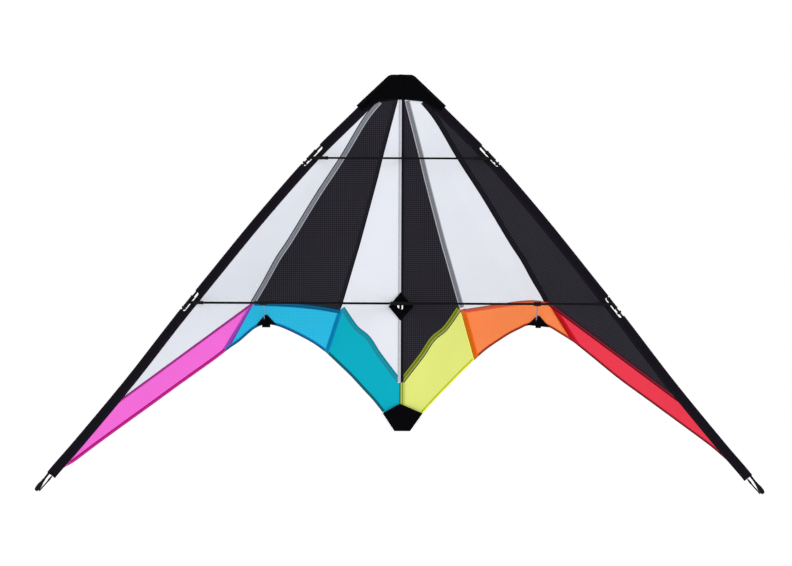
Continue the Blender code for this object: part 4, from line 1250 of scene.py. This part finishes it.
def tube(path, radius, segments=20):
    """Mesh of a round rod or cord along a curve, with closed ends."""
    path = np.asarray(path, float)
    run = np.gradient(path, axis=0)
    run /= np.linalg.norm(run, axis=1)[:, None]
    across = np.cross(run, (0, 1, 0))
    across /= np.linalg.norm(across, axis=1)[:, None]
    up = np.cross(across, run)
    turn = np.linspace(0, 2 * math.pi, segments, endpoint=False)[None, :, None]
    radius = np.broadcast_to(radius, len(path))[:, None, None]
    rings = path[:, None] + (across[:, None] * np.cos(turn) + up[:, None] * np.sin(turn)) * radius
    faces = []
    for i in range(len(path) - 1):
        for k in range(segments):
            n = (k + 1) % segments
            faces.append((i * segments + k, i * segments + n, (i + 1) * segments + n,
                          (i + 1) * segments + k))
    last = (len(path) - 1) * segments
    faces += [list(range(segments))[::-1], list(range(last, last + segments))]
    mesh = build_mesh("tube", rings.reshape(-1, 3), faces)
    tidy_normals(mesh, 40)
    return mesh


def fitting(node, meshes, material, slot, cuts=()):
    """A hard piece that stands for a CAD node, joined from solids and cut by others."""
    obj = link(f"{node}_piece", meshes[0], material)
    if len(meshes) > 1 or cuts:
        join_and_cut(obj, meshes[1:], cuts)
        tidy_normals(obj.data, HARD_EDGE)
    settle(obj, slot, node, body_of(frame["nodes"][node])[0])


def in_space(flat, side):
    """An (x, z) point or direction of one side, in space."""
    return Vector((side * flat[0], 0, flat[1]))


def rod_piece(node, start, end, radius, material):
    start, end = Vector(start), Vector(end)
    fitting(node, [lathe(start, end - start, bar((end - start).length / MM, radius / MM), 24)],
            material, "rod_black")


def make_spars(side_name):
    side = SIDES[side_name]
    for name, top, bottom, count in (("upper", SPAR_TOP_Z, SPAR_JOINT_Z + GAP, 70),
                                     ("lower", SPAR_JOINT_Z - GAP, SPAR_END_Z, 40)):
        line = edge_line(SPAR_INSET, top, bottom, count)
        path = np.column_stack([side * line[:, 0], np.zeros(count), line[:, 1]])
        fitting(f"{side_name}_{name}_spar", [tube(path, SPAR_R)], spar_black, "rod_black")
    centre = edge_line(SPAR_INSET, SPAR_JOINT_Z, SPAR_JOINT_Z, 1)[0]
    run = edge_direction(SPAR_JOINT_Z)
    outer = [(-35, 3.1), (-34.7, 3.3), (34.7, 3.3), (35, 3.1)]
    fitting(f"{side_name}_spar_ferrule",
            [lathe(in_space(centre, side), in_space(run, side), bored(outer, ROD_BORE))],
            ferrule_metal, "ferrule_metal")


# Along the spar from the arm, in mm: where the tube starts and ends, and where the stopper starts.
TUBE_SPAN = {"left_upper": (-22.5, 6, 12.5), "right_upper": (-21, 7, 12.5),
             "left_lower": (-18.5, 11.5, 12.2), "right_lower": (-17.5, 12, 20)}


def connector_wall(start, end):
    """Outer wall of a connector's tube in mm, with a thicker lip at each end."""
    return [(start, 3.8), (start + 0.3, 4.35), (start + 1.1, 4.6), (start + 3.1, 4.6),
            (start + 3.8, 4.15), (end - 3.8, 4.15), (end - 3.1, 4.6), (end - 1.1, 4.6),
            (end - 0.3, 4.35), (end, 3.8)]


def make_connector(side_name, level_name):
    """Moulded tube on the spar, its post, and the socket arm that turns on the post."""
    side, level = SIDES[side_name], LEVELS[level_name]
    centre = edge_line(SPAR_INSET, level["z"], level["z"], 1)[0]
    run = edge_direction(level["z"])
    axis = in_space(run, side)
    start, end, stopper = TUBE_SPAN[f"{side_name}_{level_name}"]
    body = lathe(in_space(centre, side), axis, bored(connector_wall(start, end), ROD_BORE))
    pivot = Vector((side * level["pivot"], level["y"], level["z"]))
    back = level["y"] + ARM_R + GAP
    post = lathe((pivot.x, back, pivot.z), (0, 1, 0),
                 bar((POST_REAR - back) / MM, ARM_R / MM, 0.25))
    reach = side * (centre[0] - 0.002)
    web = prism([(pivot.x, pivot.z - 0.0034), (reach, pivot.z - 0.0027),
                 (reach, pivot.z + 0.0027), (pivot.x, pivot.z + 0.0034)], back, POST_REAR)
    bore = lathe(in_space(centre - run * 0.03, side), axis, bar(60, ROD_BORE, 0.01))
    fitting(f"{side_name}_{level_name}_connector", [body, post, web], mould_black,
            "moulded_black", [bore])

    stop_at = in_space(centre + run * stopper * MM, side)
    fitting(f"{side_name}_{level_name}_stopper", [lathe(stop_at, axis, bored(STOPPER, ROD_BORE))],
            mould_black, "moulded_black")

    knuckle = lathe(pivot - Vector((0, ARM_R, 0)), (0, 1, 0),
                    bar(2 * ARM_R / MM, ARM_R / MM, 0.7))
    length = abs(level["pivot"] - level["mouth"]) / MM
    inward = (-side, 0, 0)
    barrel = lathe(pivot, inward, [(0, 0), (0, 3.7), (length * 0.40, 3.55), (length - 6, 3.5),
                                   (length - 5, 3.85), (length - 0.5, 3.9), (length, 3.5),
                                   (length, 0)])
    rib_at = length * 0.42
    rib = lathe(pivot, inward, [(rib_at, 0), (rib_at, 3.8), (rib_at + 1.4, 3.8),
                                (rib_at + 1.4, 0)])
    mouth = pivot + Vector(inward) * (length * MM - SOCKET)
    rod = level["rod"] / MM
    bore = lathe(mouth, inward, [(0, 0), (0, rod + 0.3), (19.2, rod + 0.3), (20.4, rod + 0.9),
                                 (30, rod + 0.9), (30, 0)])
    fitting(f"{side_name}_{level_name}_arm", [knuckle, barrel, rib], mould_black,
            "moulded_black", [bore])


def make_spreader(side_name):
    """A lower spreader, its standoff, and the clip and cap at the standoff's ends."""
    side = SIDES[side_name]
    rod_piece(f"{side_name}_lower_spreader", (side * (T_HALF + GAP), LOWER_Y, 0),
              (side * (LEVELS["lower"]["mouth"] + SOCKET - 2 * GAP), LOWER_Y, 0), SPREADER_R,
              rod_black)
    x = side * STANDOFF_X
    front, rear = Vector((x, LOWER_Y, 0)), Vector((x, *STANDOFF_REAR))
    aim = (rear - front).normalized()
    clip = lathe(front, (1, 0, 0), bored(CLIP_WALL, ROD_BORE))
    holder = lathe(front, aim, CLIP_HOLDER, 20)
    bore = lathe(front - Vector((0.012, 0, 0)), (1, 0, 0), bar(24, ROD_BORE, 0.01))
    fitting(f"{side_name}_standoff_clip", [clip, holder], mould_black, "moulded_black", [bore])
    rod_piece(f"{side_name}_standoff_rod", front + aim * (CLIP_HOLDER[-1][0] * MM + GAP),
              rear - aim * 0.0035, STANDOFF_R, standoff_grey)
    cap = lathe(rear - aim * 0.010, aim, STANDOFF_CAP, 20)
    fitting(f"{side_name}_standoff_end", [cap], mould_black, "moulded_black")


def make_tip(side_name):
    """Nock on the spar's end, and the elastic cord from the sleeve's corner round it."""
    side = SIDES[side_name]
    end = edge_line(SPAR_INSET, SPAR_END_Z, SPAR_END_Z, 1)[0]
    run = edge_direction(SPAR_END_Z)
    across = np.array([run[1], -run[0]])
    axis = in_space(run, side)
    bore = lathe(in_space(end - run * 0.04, side), axis, bar(40.3, ROD_BORE, 0.01))
    corners = [end + run * a + across * b for a, b in NOCK_SLOT]
    slot = prism([(side * x, z) for x, z in corners], -0.0012, 0.0012)
    fitting(f"{side_name}_nock", [lathe(in_space(end, side), axis, NOCK_WALL)], mould_black,
            "moulded_black", [bore, slot])

    at, down, inward = edge_frame(SLEEVE_END)
    corner = at + inward * 0.014 + down * 0.0008
    route = smooth_path([corner, *(end + run * a + across * b for a, b in CORD_ROUTE)], 8)
    path = np.column_stack([side * route[:, 0], np.zeros(len(route)), route[:, 1]])
    number = np.arange(len(route))
    bumps = 1 + 0.06 * np.sin(number * 2.1)
    knot = 0.55 * np.exp(-((number - 3) / 1.6) ** 2)
    fitting(f"{side_name}_tip_cord", [tube(path, CORD_R * (bumps + knot), 14)], bungee,
            "cord_black")


def make_frame():
    rod_piece("spine_rod", (0, SPINE_Y, SPINE_BOTTOM), (0, SPINE_Y, SPINE_TOP), SPINE_R,
              spine_black)
    for node, end, way in (("spine_nose_cap", SPINE_TOP, 1), ("spine_tail_cap", SPINE_BOTTOM, -1)):
        fitting(node, [lathe((0, SPINE_Y, end), (0, 0, way), SPINE_CAP)], mould_black,
                "moulded_black")
    neck = prism([(-0.003, -0.0035), (0.003, -0.0035), (0.003, 0.0035), (-0.003, 0.0035)],
                 LOWER_Y, SPINE_Y - 0.001)
    clamp = lathe((0, SPINE_Y, -0.0045), (0, 0, 1), bar(9, 4.4, 0.5))
    bore = lathe((0, SPINE_Y, -0.02), (0, 0, 1), bar(40, SPINE_R / MM + 0.3, 0.01))
    sockets = [lathe((side * 0.005, LOWER_Y, 0), (side, 0, 0), bar(25, ROD_BORE, 0.01))
               for side in SIDES.values()]
    fitting("centre_t", [lathe((0, LOWER_Y, 0), (1, 0, 0), T_WALL), neck, clamp], mould_black,
            "moulded_black", [bore, *sockets])
    reach, height = LEVELS["upper"]["mouth"], LEVELS["upper"]["z"]
    rod_piece("upper_spreader", (-(reach + SOCKET - 2 * GAP), UPPER_Y, height),
              (reach - GAP, UPPER_Y, height), UPPER_R, rod_black)


# ---------------------------------------------------------------- assembly

for side_name in SIDES:
    make_cloth(side_name)
    make_seams(side_name)
    make_sleeve(side_name)
    make_nose(side_name)
    make_trailing_patch(side_name)
    make_spars(side_name)
    for level_name in LEVELS:
        make_connector(side_name, level_name)
    make_spreader(side_name)
    make_tip(side_name)
make_centre()
make_frame()

for name, (obj, (width, length, area)) in sheets.items():
    side_name, _, part = name.partition("_")

# ---------------------------------------------------------------- studio

FLOOR_Z, FLOOR_HALF = -0.62, 40
floor_mesh = build_mesh("floor", [(x * FLOOR_HALF, y * FLOOR_HALF, FLOOR_Z)
                                  for x, y in ((-1, -1), (1, -1), (1, 1), (-1, 1))],
                        [(0, 1, 2, 3)])
floor_look = Nodes("floor_white", (0.90, 0.90, 0.90), 0.9, 0.0)
floor_look.set(floor_look.shader, {"Emission Color": (1, 1, 1, 1), "Emission Strength": 0.12})
link("floor", floor_mesh, floor_look.material)

world = bpy.data.worlds.new("studio")
world.use_nodes = True
world.node_tree.nodes["Background"].inputs["Color"].default_value = (1, 1, 1, 1)
world.node_tree.nodes["Background"].inputs["Strength"].default_value = 1.0
bpy.context.scene.world = world


def softbox(name, place, power, size):
    lamp = bpy.data.lights.new(name, "AREA")
    lamp.energy, lamp.size = power, size
    obj = bpy.data.objects.new(name, lamp)
    bpy.context.scene.collection.objects.link(obj)
    obj.location = place
    obj.rotation_euler = (-Vector(place)).to_track_quat("-Z", "Y").to_euler()
    obj.visible_camera = False


softbox("key", (-2.2, -3.0, 2.2), 26, 1.6)
softbox("fill", (2.6, -3.4, 0.8), 9, 2.0)

PHOTO_WIDTH = 1.7408            # of the kite's plane that the picture takes in
CAMERA_AWAY = 12.0
CAMERA_X, CAMERA_Z, CAMERA_PAN = -0.0099, 0.045, math.radians(0.24)
camera = bpy.data.cameras.new("camera")
camera.sensor_width = 36
camera.lens = camera.sensor_width * CAMERA_AWAY / PHOTO_WIDTH
camera.clip_end = 200
camera_object = bpy.data.objects.new("camera", camera)
bpy.context.scene.collection.objects.link(camera_object)
camera_object.matrix_world = (Matrix.Translation((CAMERA_X, -CAMERA_AWAY, CAMERA_Z))
                              @ Matrix.Rotation(math.pi / 2, 4, "X")
                              @ Matrix.Rotation(CAMERA_PAN, 4, "Z"))
bpy.context.scene.camera = camera_object
bpy.context.scene.view_settings.view_transform = "Standard"

bpy.context.view_layer.update()
